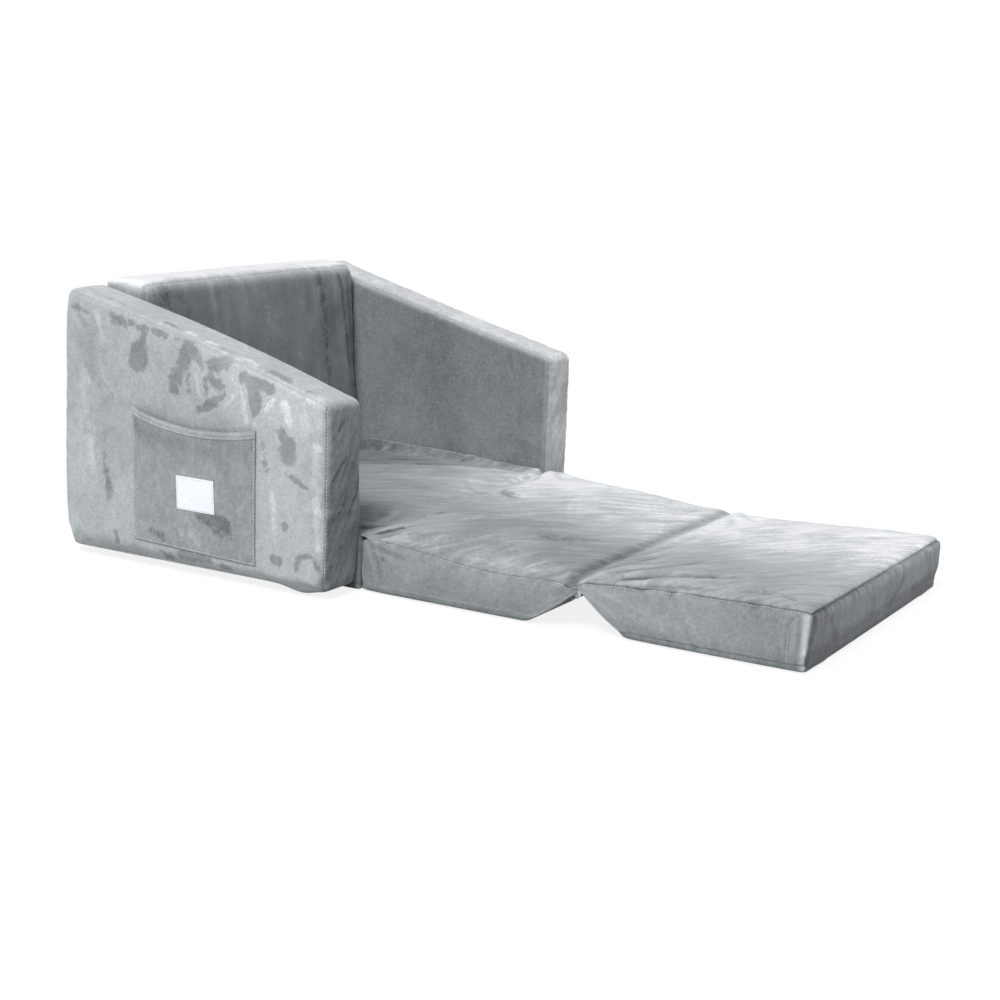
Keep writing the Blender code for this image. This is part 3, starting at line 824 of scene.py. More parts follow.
# %% Creases and marks of the left arm
left_creases = [
    ([(-0.392, 0.235, 0.405), (-0.393, 0.222, 0.385), (-0.393, 0.205, 0.372)], 0.0022, 0.004),
    ([(-0.392, 0.205, 0.402), (-0.393, 0.196, 0.385)], 0.0016, 0.004),
    ([(-0.392, 0.010, 0.352), (-0.393, -0.002, 0.336)], 0.0015, 0.004),
    ([(-0.392, -0.040, 0.340), (-0.393, -0.062, 0.318)], 0.0014, 0.004),
    ([(-0.385, -0.225, 0.290), (-0.393, -0.232, 0.262), (-0.394, -0.228, 0.235)], 0.0015, 0.005),
]
side_marks = [
    ((0.091, 0.385), (0.097, 0.357), 0.016, -0.70), ((0.102, 0.345), (0.102, 0.333), 0.030, -1.00),
    ((0.239, 0.407), (0.212, 0.402), 0.016, -0.60), ((0.191, 0.404), (0.176, 0.359), 0.018, 0.55),
    ((0.162, 0.402), (0.136, 0.391), 0.020, -0.62), ((0.120, 0.392), (0.100, 0.386), 0.012, -0.60),
    ((0.005, 0.366), (0.022, 0.318), 0.026, -0.75), ((0.031, 0.312), (0.030, 0.296), 0.018, -0.80),
    ((-0.004, 0.352), (-0.020, 0.340), 0.022, -0.60), ((0.006, 0.330), (0.000, 0.300), 0.016, -0.62),
    ((-0.010, 0.334), (-0.023, 0.288), 0.010, 0.85), ((-0.046, 0.342), (-0.064, 0.350), 0.024, -0.80),
    ((-0.042, 0.323), (-0.060, 0.309), 0.017, -0.75), ((-0.016, 0.270), (-0.067, 0.296), 0.015, -0.75),
    ((-0.030, 0.318), (-0.034, 0.296), 0.012, -0.60), ((-0.070, 0.286), (-0.086, 0.300), 0.010, 0.80),
    ((-0.104, 0.330), (-0.152, 0.316), 0.016, -0.95), ((-0.118, 0.314), (-0.127, 0.280), 0.021, -1.05),
    ((-0.104, 0.306), (-0.112, 0.264), 0.012, 0.95), ((-0.125, 0.262), (-0.147, 0.284), 0.008, 0.95),
    ((-0.147, 0.284), (-0.159, 0.303), 0.008, 0.85), ((-0.178, 0.297), (-0.194, 0.259), 0.012, 1.00),
    ((-0.184, 0.253), (-0.190, 0.218), 0.028, -0.78), ((-0.187, 0.192), (-0.232, 0.169), 0.010, -0.66),
    ((-0.183, 0.110), (-0.185, 0.108), 0.012, -0.85), ((-0.166, 0.055), (-0.174, 0.052), 0.014, -0.95),
    ((0.050, 0.028), (0.040, 0.025), 0.018, -0.62), ((0.018, 0.034), (-0.039, 0.032), 0.015, -0.72),
    ((-0.066, 0.025), (-0.076, 0.024), 0.012, -0.75), ((0.152, 0.052), (0.148, 0.036), 0.012, -0.60),
    ((-0.214, 0.064), (-0.234, 0.070), 0.012, -0.66), ((-0.210, 0.060), (-0.206, 0.042), 0.012, -0.66),
    ((-0.240, 0.066), (-0.246, 0.048), 0.010, -0.60), ((-0.142, 0.236), (-0.151, 0.182), 0.012, -0.55),
    ((-0.238, 0.240), (-0.244, 0.080), 0.015, 0.66), ((-0.160, 0.160), (-0.168, 0.080), 0.016, 0.56),
    ((0.220, 0.300), (0.200, 0.160), 0.030, 0.52), ((0.180, 0.180), (0.160, 0.110), 0.020, -0.50),
    ((0.075, 0.385), (0.050, 0.378), 0.014, -0.66), ((0.030, 0.378), (0.014, 0.374), 0.012, -0.62),
]
top_marks = [
    (0.185, 0.150, 0.020, -0.42), (0.066, 0.046, 0.014, -0.78), (0.020, 0.008, 0.012, 0.90),
    (-0.016, -0.030, 0.012, 0.90), (-0.050, -0.062, 0.014, -0.60), (-0.090, -0.112, 0.014, 0.80),
    (-0.140, -0.172, 0.018, -0.72), (-0.205, -0.220, 0.014, -0.50),
]
front_strokes = [(0.045, -0.52), (0.080, 0.46), (0.112, -0.46), (0.150, 0.48), (0.182, -0.55), (0.215, 0.48),
                 (0.245, -0.50), (0.268, 0.44)]
left_marks = [((-0.394, *start), (-0.394, *end), width, strength)
              for start, end, width, strength in side_marks]
for start_y, end_y, width, strength in top_marks:
    ends = [(-0.372, y, 0.3765 + 0.262 * y) for y in (start_y, end_y)]
    left_marks.append((*ends, width, strength))
for z, strength in front_strokes:
    left_marks.append(((-0.382, -0.261, z), (-0.348, -0.261, z + 0.035), 0.009, strength))
    left_marks.append(((-0.338, -0.261, z - 0.020), (-0.308, -0.261, z + 0.020), 0.008, -strength))
print("marks on the left arm:", len(left_marks))


# %% Left arm
def left_tone(points, normals, distance, relief):
    """Tone of the left arm, nap and painted light together: pale outside and on top, painted shade in front
    and underneath, a painted highlight on the inner front edge, and dark where the marks are.
    """
    # Painted light and shade by the way a face looks: the outer face, which looks towards the light, is
    # paler, more towards the front, and the top is paler still, most at its ends; the underside and the front
    # are darker. Nap makes part of the difference.
    outside = 0.078 + 0.102 * ease(-points[:, 1], -0.05, 0.20)
    tone = 0.50 + outside * np.clip(-normals[:, 0], 0, 1) + 0.22 * np.clip(normals[:, 2], 0, 1)
    tone -= 0.30 * np.clip(-normals[:, 2], 0, 1)
    ends = ease(-points[:, 1], 0.10, 0.20) + ease(points[:, 1], 0.10, 0.18)
    tone += 0.06 * np.clip(normals[:, 2], 0, 1) * ends
    tone -= 0.23 * np.clip(-normals[:, 1], 0, 1) + 0.10 * np.exp(-distance / 0.002)
    # A painted highlight along the inner front edge.
    rim = np.hypot(points[:, 0] + arm_inner + 0.0012, points[:, 1] - sofa_front + 0.0050)
    tone += 0.30 * np.exp(-(rim / 0.0036) ** 2)
    # Painted shade in the grooves and creases and painted light on what swells, by the depth of the relief.
    return tone + 30 * np.clip(relief, -0.003, 0.003)


left_arm = Cushion("left_arm_cushion", (-arm_outer, -arm_inner), arm_outline, 0, arm_radii,
                   arm_shape(0.010, -1, 0.0105, 0.0036))
left_arm.swell(0.0028, ((-0.397, -0.268, 0.0015), (-arm_inner, 0.272, 0.46)))
left_arm.finish(groove=0.0016, puff=0.0010, pucker=0.0024, waves=0.0012, creases=left_creases,
                seed=1.0, tone=left_tone,
                flats=[(0, 1, -arm_inner)], marks=left_marks)

# %% Right arm
right_creases = [
    ([(0.3015, -0.190, 0.305), (0.3015, -0.205, 0.270)], 0.0016, 0.004),
    ([(0.3015, -0.172, 0.300), (0.3015, -0.188, 0.262)], 0.0014, 0.004),
    ([(0.3015, -0.215, 0.292), (0.3015, -0.228, 0.262)], 0.0015, 0.004),
    ([(0.3015, 0.120, 0.118), (0.3015, 0.085, 0.135)], 0.0020, 0.005),
    ([(0.3015, 0.060, 0.112), (0.3015, 0.035, 0.130)], 0.0018, 0.005),
]


def right_tone(points, normals, distance, relief):
    """Tone of the right arm: mid-grey inside, where nap and painted shade darken it, and painted light on top
    and in front.
    """
    # The inner face is darkened by nap and by painted shade, most towards the front; painted light makes the
    # top and the front paler.
    inside = 0.22 - 0.09 * ease(points[:, 1], -0.05, 0.15)
    tone = 0.50 - inside * np.clip(-normals[:, 0], 0, 1) + 0.24 * np.clip(normals[:, 2], 0, 1)
    tone += 0.25 * np.clip(-normals[:, 1], 0, 1) - 0.10 * np.exp(-distance / 0.002)
    # Painted shade in the grooves and creases and painted light on what swells, by the depth of the relief.
    return tone + 22 * np.clip(relief, -0.003, 0.003)


right_arm = Cushion("right_arm_cushion", (arm_inner, right_arm_outer), arm_outline, 0, right_arm_radii,
                    arm_shape(-0.002, 1, 0.0, 0.0))
right_arm.swell(0.0028, ((arm_inner, -0.262, 0.002), (0.387, 0.268, 0.46)))
right_arm.finish(groove=0.0016, puff=0.0010, pucker=0.0024, waves=0.0012, creases=right_creases,
                 seed=2.0, tone=right_tone,
                 flats=[(0, -1, arm_inner)])

# %% [markdown]
# ## Back
#
# The back panel stands between the arms and leans back a little. Its top is slightly arched, and near
# its right corner the cover hangs in upright folds.

# %% Outline, creases and marks of the back
back_top, back_top_front, back_foot_front = 0.445, 0.170, 0.144
sewn_gap = 0.0004
well = (-arm_inner + sewn_gap, arm_inner - sewn_gap)
back_outline = [(sofa_rear, arm_foot), (sofa_rear, back_top), (back_top_front, back_top),
                (back_foot_front, arm_foot)]
back_creases = [
    ([(0.272, 0.166, 0.432), (0.281, 0.160, 0.330), (0.292, 0.152, 0.190)], 0.0046, 0.008),
    ([(0.252, 0.168, 0.425), (0.262, 0.162, 0.340), (0.276, 0.154, 0.240)], 0.0020, 0.009),
    ([(0.262, 0.160, 0.300), (0.286, 0.152, 0.150)], 0.0022, 0.008),
    ([(0.150, 0.168, 0.430), (0.146, 0.164, 0.340)], 0.0016, 0.010),
    ([(-0.120, 0.168, 0.432), (-0.110, 0.164, 0.330)], 0.0014, 0.012),
]
back_marks_and_shading = [
    ((-0.135, 0.166, 0.430), (-0.120, 0.162, 0.330), 0.028, 0.55),
    ((0.010, 0.166, 0.400), (0.030, 0.162, 0.350), 0.030, 0.46),
    ((-0.255, 0.166, 0.430), (-0.240, 0.164, 0.380), 0.040, -0.50),
    ((0.180, 0.166, 0.420), (0.200, 0.156, 0.200), 0.030, -0.48),
    ((0.100, 0.166, 0.320), (0.120, 0.156, 0.180), 0.034, 0.44),
    # A dark stroke along the second crease at the right corner: painted shade in that fold.
    ((0.246, 0.166, 0.420), (0.268, 0.156, 0.240), 0.014, -0.62),
]
print("back thickness at the top:", round(sofa_rear - back_top_front, 3))


# %% Back
def back_shape(points, u, v, w):
    """The back's faces: a crowned front that leans, and an arched top."""
    points[:, 1] -= 0.004 * ease(v, 0.8, 1) * bow(u) * bow(w)
    points[:, 1] += 0.004 * ease(1 - v, 0.8, 1) * bow(u) * bow(w)
    points[:, 2] += w ** 3 * (0.004 * bow(u, 2) + 0.001 * bow(v, 2) - 0.003 + 0.004 * (1 - ease(u, 0.0, 0.5)))
    return points


def back_tone(points, normals, distance, relief):
    """Tone of the back: painted shade on its inner face and painted light on its top."""
    # Painted shade on the inner face, a little less towards the left, and painted light on top.
    inside = 0.205 - 0.05 * ease(-points[:, 0], 0.05, 0.25)
    tone = 0.50 - inside * np.clip(-normals[:, 1], 0, 1) + 0.48 * np.clip(normals[:, 2], 0, 1)
    # Painted shade in the grooves and creases and painted light on what swells, by the depth of the relief.
    return tone + 26 * np.clip(relief, -0.005, 0.003)


back = Cushion("back_cushion", well, back_outline, 1, (0.018, 0.012, 0.022, 0.011), back_shape)
back.swell(0.0028, ((-arm_inner, 0.135, 0.002), (arm_inner, 0.268, 0.46)))
back.finish(groove=0.0007, puff=0.0008, pucker=0.0020, waves=0.0016, creases=back_creases,
            seed=3.0, tone=back_tone,
            flats=[(0, 1, arm_inner), (0, -1, -arm_inner)], marks=back_marks_and_shading)

# %% [markdown]
# ## Bed cushions
#
# Base, middle and foot are boxed cushions: a top panel, a strip round the sides and a bottom panel. The
# top panel swells over its seam, and the sides are darker in a band at the floor, under the lower seam. The
# middle and foot are cut to a mitre where they fold against each other.

# %% Shape and nap of the base
bed_top, lower_seam = 0.088, 0.011
base_rear, base_front = 0.139, -0.2608
base_outline = [(base_rear, 0.0), (base_rear, bed_top), (base_front, bed_top), (base_front, 0.0)]


def base_shape(points, u, v, w):
    """The base: a crowned top that turns up against the arms and the back, where it is sewn to them."""
    x, y = points[:, 0], points[:, 1]
    side_gap = arm_inner - np.abs(x)
    lip = 0.036 * np.exp(-(side_gap / 0.0095) ** 2) * (0.62 + 0.38 * ease(y, -0.262, -0.02))
    rear_lip = 0.034 * np.exp(-((base_rear - y) / 0.011) ** 2)
    points[:, 2] += w ** 3 * (0.0095 * bow(u) * bow(v) + np.maximum(lip, rear_lip))
    return points


def base_tone(points, normals, distance, relief):
    """Tone of the base: mid-grey, with painted light towards its right front corner, away from the left arm's
    shade, and darker beyond its long crease.
    """
    x, y = points[:, 0], points[:, 1]
    # Painted light: the top a little paler, and much paler towards the right front, away from the left arm's
    # shade. The rear is a little darker.
    tone = 0.36 + 0.05 * np.clip(normals[:, 2], 0, 1) - 0.03 * ease(y, -0.05, 0.13)
    tone += 0.30 * ease(x, -0.16, 0.24) * ease(-y, -0.02, 0.24) * np.clip(normals[:, 2], 0, 1)
    crease_x = np.interp(y, (-0.252, -0.095, 0.025, 0.120, 0.139), (0.300, 0.210, 0.118, 0.020, 0.0))
    tone -= (0.15 + 0.10 * ease(x, 0.1, 0.29) * ease(-y, 0.0, 0.2)) * ease(x - crease_x, -0.001, 0.010)
    # Painted shade in the grooves and creases and painted light on what swells, by the depth of the relief.
    return tone - 0.08 * np.exp(-distance / 0.002) + 26 * np.clip(relief, -0.003, 0.003)


# %% Creases of the base, and those that run on across the seat's fold, with the painted light and shade of the seat's wrinkles
seat_wrinkles = [
    ([(-0.278, -0.236, 0.093), (-0.222, -0.268, 0.096)], 0.0044, 0.0062),
    ([(-0.272, -0.256, 0.093), (-0.210, -0.290, 0.097)], 0.0044, 0.0062),
    ([(-0.280, -0.278, 0.093), (-0.232, -0.315, 0.097)], 0.0036, 0.0060),
    ([(0.092, -0.226, 0.097), (0.060, -0.300, 0.099)], 0.0030, 0.0080),
    ([(0.161, -0.262, 0.098), (0.230, -0.256, 0.098), (0.292, -0.250, 0.098)], 0.0036, 0.0070),
    ([(0.200, -0.288, 0.099), (0.290, -0.262, 0.099)], 0.0030, 0.0070),
]
# Pale and dark strokes: painted light and shade on the seat's wrinkles.
seat_wrinkle_shading = [
    ((-0.256, -0.262, 0.096), (-0.226, -0.279, 0.097), 0.0110, 1.70),
    ((-0.278, -0.283, 0.095), (-0.250, -0.303, 0.097), 0.0120, -1.50),
    ((-0.296, -0.300, 0.090), (-0.276, -0.324, 0.093), 0.0110, 1.60),
    ((-0.222, -0.245, 0.097), (-0.150, -0.229, 0.098), 0.0120, 1.20),
    ((-0.272, -0.244, 0.094), (-0.232, -0.256, 0.096), 0.0120, -1.30),
]
base_creases = seat_wrinkles + [
    ([(0.292, 0.105, 0.104), (0.262, 0.080, 0.100)], 0.0022, 0.005),
    ([(0.294, 0.075, 0.104), (0.255, 0.040, 0.099)], 0.0020, 0.005),
    ([(0.294, 0.035, 0.104), (0.262, 0.000, 0.099)], 0.0018, 0.005),
    ([(0.240, 0.130, 0.103), (0.215, 0.095, 0.099)], 0.0016, 0.005),
    ([(0.292, -0.235, 0.096), (0.210, -0.095, 0.098), (0.118, 0.025, 0.098), (0.020, 0.120, 0.098)],
     0.0044, 0.005),
    ([(0.240, -0.060, 0.098), (0.150, 0.060, 0.098)], 0.0026, 0.005),
    ([(0.270, 0.000, 0.100), (0.200, 0.075, 0.098)], 0.0030, 0.006),
    ([(0.285, 0.060, 0.102), (0.230, 0.110, 0.100)], 0.0030, 0.005),
    ([(0.150, 0.075, 0.098), (0.090, 0.125, 0.099)], 0.0024, 0.005),
    ([(0.292, -0.120, 0.102), (0.262, -0.060, 0.100)], 0.0026, 0.005),
    ([(-0.202, -0.225, 0.093), (-0.136, -0.205, 0.094)], 0.0030, 0.008),
    ([(-0.275, -0.230, 0.092), (-0.235, -0.195, 0.094), (-0.215, -0.150, 0.095)], 0.0040, 0.007),
    ([(0.090, -0.229, 0.094), (0.130, -0.190, 0.096)], 0.0018, 0.006),
]
print("creases in the base:", len(base_creases))


# %% Base
def base_limit(points):
    """How high the base's top may be: below the folded bed, except at the sides and the rear."""
    free = np.maximum(ease(np.abs(points[:, 0]), 0.285, 0.292), ease(points[:, 1], 0.112, 0.124))
    return 0.1008 + 0.026 * free


base = Cushion("base_cushion", well, base_outline, 2, (0.008, 0.008, 0.013, 0.013), base_shape, lower_seam)
base.swell(0.003, ((-arm_inner, base_front, 0), (arm_inner, 0.143, 0.12)))
base.finish(groove=0.0012, puff=0.0008, pucker=0.0022, waves=0.0012, creases=base_creases,
            seed=4.0, tone=base_tone,
            flats=[(0, 1, arm_inner), (0, -1, -arm_inner), (2, -1, 0.0), (2, 1, base_limit)],
            marks=seat_wrinkle_shading)

# %% Shape of the middle
middle_rear, fold_line = -0.2605, -0.637
middle_half_width = 0.300
nose_reach = 0.0078
middle_outline = [(middle_rear, 0.0), (middle_rear, bed_top), (fold_line - nose_reach, bed_top),
                  (fold_line - nose_reach + mitre_run, 0.0)]


def bulge_sides(points, u, w, bulge):
    """Bulges a cushion's two sides, most a little above the floor."""
    swollen = bulge * bow(np.clip(w * 0.80 + 0.24, 0, 1), 2)
    points[:, 0] += np.sign(u - 0.5) * swollen * np.abs(2 * u - 1) ** 12


def plump_mitre(points, near, w, ahead):
    """Swells a mitred face; near is 1 at the face, and ahead is 1 where the face looks backwards."""
    plump = 0.005 * near * (1 - w) * np.sqrt(w) / 0.385
    points[:, 1] += ahead * 0.62 * plump
    points[:, 2] -= 0.78 * plump * ease(w, 0.0, 0.1)


def middle_shape(points, u, v, w):
    """The middle: a crowned top whose left seam hangs, over sides that bulge near the floor."""
    x, y = points[:, 0], points[:, 1]
    along = np.clip((middle_rear - y) / (middle_rear - fold_line), 0, 1)
    rightness = ease(x, -0.295, -0.10)
    fall = 0.009 * ease(v, 0.35, 0.93) * (0.4 + 0.6 * rightness) + 0.009 * ease(v, 0.90, 1.0)
    fall += 0.0054 * (1 - rightness) * ease(v, 0.80, 1.0)
    dome = 0.0125 * bow(u, 6) * ease(along, -0.02, 0.10) * (1 - ease(along, 0.30, 0.98))
    sag = 0.0180 * bump(along, 0.60, 0.36) * np.exp(-((x + middle_half_width) / 0.045) ** 2)
    corner = 0.011 * bump(y, middle_rear, 0.075) * ease(x, 0.20, 0.29)
    fall += 0.003 * rightness * ease(v, 0.55, 0.90) * ease(x, 0.0, 0.25)
    points[:, 2] += w ** 2 * (dome + corner - fall - sag)
    bulge_sides(points, u, w, 0.010 * bow(along, 12))
    plump_mitre(points, ease(v, 0.9, 1), w, -1)
    return points


# %% Nap of the middle and foot
def bed_tone(points, normals, distance, relief):
    """Tone of the middle and foot, with painted light and shade: pale streaked top, darker sides and a dark
    band at the floor.
    """
    x, y, z = points.T
    top = np.clip(normals[:, 2], 0, 1)
    # Painted light by the way a face looks: the top paler than the sides and much paler towards the right,
    # away from the left arm's shade, and the sides that look left a little paler; nap makes part of it. A
    # painted highlight on the roll of the left edge.
    tone = 0.31 + 0.13 * top + 0.04 * np.clip(-normals[:, 0], 0, 1) + 0.41 * ease(x, -0.20, 0.24) * top
    tone += 0.17 * top * bump(x, -0.272, 0.020) * bump(y, -0.515, 0.085)
    # Painted light on the mitred faces that look down into the shade under the fold, and a dark band at the
    # floor.
    below = 0.50 * np.clip(-normals[:, 2], 0, 0.9) * ease(z, 0.004, 0.014)
    tone += below - 0.14 * (1 - ease(z, 0.005, 0.012))
    # A painted highlight on the roll just above the lower seam, and painted shade in the fold's valley on the
    # top.
    tone += 0.10 * (1 - top) * bump(z, 0.0145, 0.0020) - 0.23 * top * bump(y, fold_line + 0.012, 0.009)
    # Painted shade in the grooves and creases and painted light on what swells, by the depth of the relief.
    return tone - 0.04 * np.exp(-distance / 0.002) + 34 * np.clip(relief, -0.004, 0.004)


def foot_tone(points, normals, distance, relief):
    """The same tone with a front darkened as painted shade, and a painted highlight where the top rises from
    the fold.
    """
    tone = bed_tone(points, normals, distance, relief)
    top = np.clip(normals[:, 2], 0, 1)
    # A painted highlight where the top rises from the fold.
    tone += 0.14 * top * bump(points[:, 1], fold_line - 0.006, 0.006)
    tone -= 0.09 * top * ease(points[:, 0], 0.0, 0.2) * ease(-points[:, 1], 0.66, 0.75)
    tone += 0.20 * ease(-normals[:, 0], 0.5, 0.9) * bump(points[:, 1], -0.993, 0.007)
    # Painted shade on the front, less at the floor, and there without the painted highlight above the lower
    # seam.
    ahead = ease(-normals[:, 1], 0.4, 0.8) * ease(-points[:, 1], 0.94, 0.97)
    tone -= 0.31 * ahead - 0.12 * ahead * (1 - ease(points[:, 2], 0.005, 0.012))
    tone -= 0.10 * ahead * bump(points[:, 2], 0.0145, 0.0020)
    tone -= 0.05 * ease(-normals[:, 0], 0.5, 0.9)
    # More painted shade in the creases and painted light on what swells, by the depth of the relief.
    return tone + 12 * np.clip(relief, -0.005, 0.004)


# %% Creases and marks of the middle, with the painted light and shade of some wrinkles and of its left edge
middle_creases = seat_wrinkles + [
    ([(-0.303, -0.272, 0.080), (-0.306, -0.300, 0.072), (-0.308, -0.345, 0.064)], 0.0026, 0.004),
    ([(-0.303, -0.276, 0.078), (-0.308, -0.296, 0.050), (-0.310, -0.306, 0.022)], 0.0022, 0.004),
    ([(-0.290, -0.290, 0.092), (-0.250, -0.318, 0.097)], 0.0020, 0.005),
    ([(-0.285, -0.300, 0.090), (-0.262, -0.345, 0.096), (-0.225, -0.390, 0.099)], 0.0014, 0.006),
    ([(-0.300, -0.560, 0.066), (-0.270, -0.600, 0.078)], 0.0018, 0.005),
    ([(0.080, -0.290, 0.098), (0.042, -0.340, 0.100)], 0.0030, 0.009),
    ([(0.287, -0.280, 0.098), (0.230, -0.330, 0.100)], 0.0030, 0.009),
    ([(0.290, -0.400, 0.098), (0.200, -0.440, 0.098)], 0.0016, 0.007),
    ([(0.292, -0.520, 0.090), (0.210, -0.545, 0.092)], 0.0014, 0.006),
]
middle_marks_and_shading = seat_wrinkle_shading + [
    # Painted light and shade of the wrinkles at the seat's left corner, then a painted highlight on the roll
    # of the left edge, painted shade beside a crease, and hand marks.
    ((-0.306, -0.274, 0.084), (-0.307, -0.296, 0.066), 0.0070, 0.90),
    ((-0.306, -0.279, 0.079), (-0.309, -0.322, 0.046), 0.0080, -0.66),
    ((-0.306, -0.270, 0.077), (-0.309, -0.284, 0.034), 0.0045, 0.90),
    ((-0.304, -0.290, 0.086), (-0.306, -0.330, 0.082), 0.0060, 0.80),
    ((-0.284, -0.330, 0.090), (-0.280, -0.440, 0.086), 0.012, 0.60),
    ((-0.280, -0.440, 0.086), (-0.278, -0.560, 0.082), 0.015, 0.75),
    ((0.100, -0.280, 0.100), (0.045, -0.335, 0.100), 0.030, -0.56),
    ((-0.200, -0.290, 0.098), (-0.120, -0.300, 0.100), 0.030, -0.46),
    ((-0.090, -0.560, 0.088), (-0.150, -0.500, 0.092), 0.040, -0.44),
    ((-0.060, -0.420, 0.098), (-0.140, -0.350, 0.098), 0.040, 0.44),
]
print("creases in the middle:", len(middle_creases))

# %% Middle
middle = Cushion("middle_cushion", (-middle_half_width, middle_half_width), middle_outline, 2,
                 (0.015, 0.004, 0.012, 0.012), middle_shape, lower_seam, crispness=0.75)
middle.swell(0.003, ((-0.314, fold_line - 0.0004, 0), (0.314, middle_rear + 0.001, 0.1005)), fold_line)
middle.finish(groove=0.0020, puff=0.0014, pucker=0.0034, waves=0.0012, creases=middle_creases,
              seed=5.0, tone=bed_tone,
              flats=[(2, -1, 0.0), (2, 1, 0.1008), (1, -1, fold_line + 0.0003)], marks=middle_marks_and_shading)

# %% Shape of the foot
foot_end, foot_half_width = -0.995, 0.295
foot_outline = [(fold_line + nose_reach - mitre_run, 0.0), (fold_line + nose_reach, bed_top),
                (foot_end, bed_top), (foot_end, 0.0)]


def foot_shape(points, u, v, w):
    """The foot: a nearly level top that dips to the fold, quickly on the right and slowly on the left."""
    x, y = points[:, 0], points[:, 1]
    rightness = ease(x, -0.295, 0.295)
    fall = 0.010 * (1 - ease(v, 0.0, 0.07)) + 0.008 * (1 - ease(v, 0.0, 0.45))
    dome = 0.0030 * bow(u, 6) * bow(v, 3)
    tilt = -0.0090 * rightness * ease(v, 0.02, 0.12) * (1 - ease(v, 0.3, 0.9))
    tilt += (0.005 - 0.006 * rightness) * ease(v, 0.25, 0.95)
    points[:, 2] += w ** 2 * (dome + tilt - fall - 0.001)
    points[:, 1] -= (0.006 - 0.003 * rightness) * ease(v, 0.90, 1.0) * ease(w, 0.25, 0.95)
    points[:, 1] -= 0.003 * ease(v, 0.90, 1.0)
    plump_mitre(points, ease(1 - v, 0.9, 1), w, 1)
    bulge_sides(points, u, w, 0.004 * bow(v))
    points[:, 1] -= 0.003 * ease(v, 0.9, 1) * bow(u) * bow(w)
    return points


# %% Creases and marks of the foot, with the painted light and shade of some wrinkles
foot_creases = [
    ([(-0.272, -0.650, 0.071), (-0.190, -0.672, 0.078), (-0.090, -0.694, 0.084)], 0.0048, 0.0090),
    ([(-0.278, -0.660, 0.071), (-0.225, -0.705, 0.080), (-0.140, -0.770, 0.086)], 0.0050, 0.0090),
    ([(-0.284, -0.672, 0.071), (-0.250, -0.745, 0.082), (-0.205, -0.850, 0.088)], 0.0046, 0.0085),
    ([(-0.290, -0.690, 0.071), (-0.280, -0.770, 0.082), (-0.272, -0.850, 0.086)], 0.0026, 0.0050),
    ([(-0.240, -0.656, 0.074), (-0.080, -0.664, 0.080), (0.060, -0.672, 0.082)], 0.0026, 0.0080),
    ([(-0.262, -0.880, 0.088), (-0.255, -0.950, 0.090)], 0.0022, 0.006),
    ([(-0.299, -0.977, 0.084), (-0.300, -0.967, 0.070), (-0.300, -0.966, 0.018)], 0.0022, 0.0030),
    ([(-0.297, -0.983, 0.082), (-0.298, -0.984, 0.012)], 0.0024, 0.0030),
    ([(0.270, -0.655, 0.070), (0.225, -0.700, 0.078)], 0.0020, 0.0090),
    ([(0.250, -0.652, 0.070), (0.170, -0.680, 0.078)], 0.0024, 0.0090),
    ([(0.240, -0.960, 0.094), (0.150, -0.900, 0.090)], 0.0020, 0.010),
]
foot_marks_and_shading = [
    # A painted highlight beside the creases at the left front corner, then hand marks on the front.
    ((-0.298, -0.990, 0.082), (-0.298, -0.988, 0.004), 0.010, 1.40),
    ((-0.230, -1.000, 0.070), (-0.190, -1.000, 0.030), 0.018, -0.60),
    ((-0.060, -1.000, 0.075), (-0.040, -1.000, 0.030), 0.022, -0.56),
    ((0.050, -1.000, 0.030), (0.090, -1.000, 0.060), 0.026, -0.56),
    ((0.220, -1.000, 0.070), (0.240, -1.000, 0.030), 0.020, -0.56),
    ((-0.180, -1.000, 0.050), (-0.160, -1.000, 0.015), 0.016, 0.56),
    ((-0.010, -1.000, 0.065), (0.010, -1.000, 0.020), 0.018, 0.58),
    # Painted light and shade of the wrinkles that run out from the fold's left end, and painted shade beside
    # a crease near the front, then hand marks on the front.
    ((-0.250, -0.668, 0.076), (-0.150, -0.715, 0.084), 0.008, 0.62),
    ((-0.262, -0.690, 0.078), (-0.200, -0.780, 0.086), 0.008, 0.60),
    ((-0.268, -0.700, 0.080), (-0.190, -0.870, 0.088), 0.016, -0.58),
    ((-0.200, -0.668, 0.076), (-0.080, -0.690, 0.082), 0.010, -0.56),
    ((-0.240, -0.900, 0.090), (-0.270, -0.970, 0.090), 0.020, -0.50),
    ((-0.100, -0.998, 0.030), (-0.140, -0.998, 0.060), 0.024, 0.46),
    ((0.120, -0.998, 0.030), (0.160, -0.998, 0.070), 0.020, 0.46),
]
print("creases in the foot:", len(foot_creases))

# %% Foot
foot = Cushion("foot_cushion", (-foot_half_width, foot_half_width), foot_outline, 2,
               (0.015, 0.005, 0.012, 0.012), foot_shape, lower_seam)
foot.swell(0.003, ((-0.303, -1.008, 0), (0.303, fold_line + 0.0004, 0.104)), fold_line)
foot.finish(groove=0.0026, puff=0.0030, pucker=0.0040, waves=0.0011, creases=foot_creases,
            seed=6.0, tone=foot_tone,
            flats=[(2, -1, 0.0), (1, 1, fold_line - 0.0003)], marks=foot_marks_and_shading)

# %% Bodies, slots and what the cushions stand for
cushions = ((left_arm, "sofa", arm_plush), (right_arm, "sofa", arm_plush), (back, "sofa", back_plush),
            (base, "sofa", bed_plush), (middle, "middle", bed_plush), (foot, "foot", bed_plush))
for cushion, body, plush in cushions:
    cushion.piece.data.materials.append(plush)
    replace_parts(cushion.piece, cushion.name.replace("cushion", "cover"))
    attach(cushion.piece, body)
print("cushions:", len(cushions))

# %% [markdown]
# ## Foam
#
# Each cover holds one block of cut foam, a little smaller than the cover. It is hidden unless a cover
# comes off, so the cover's own shape, 7 mm smaller, is enough, with a pale open-celled finish.

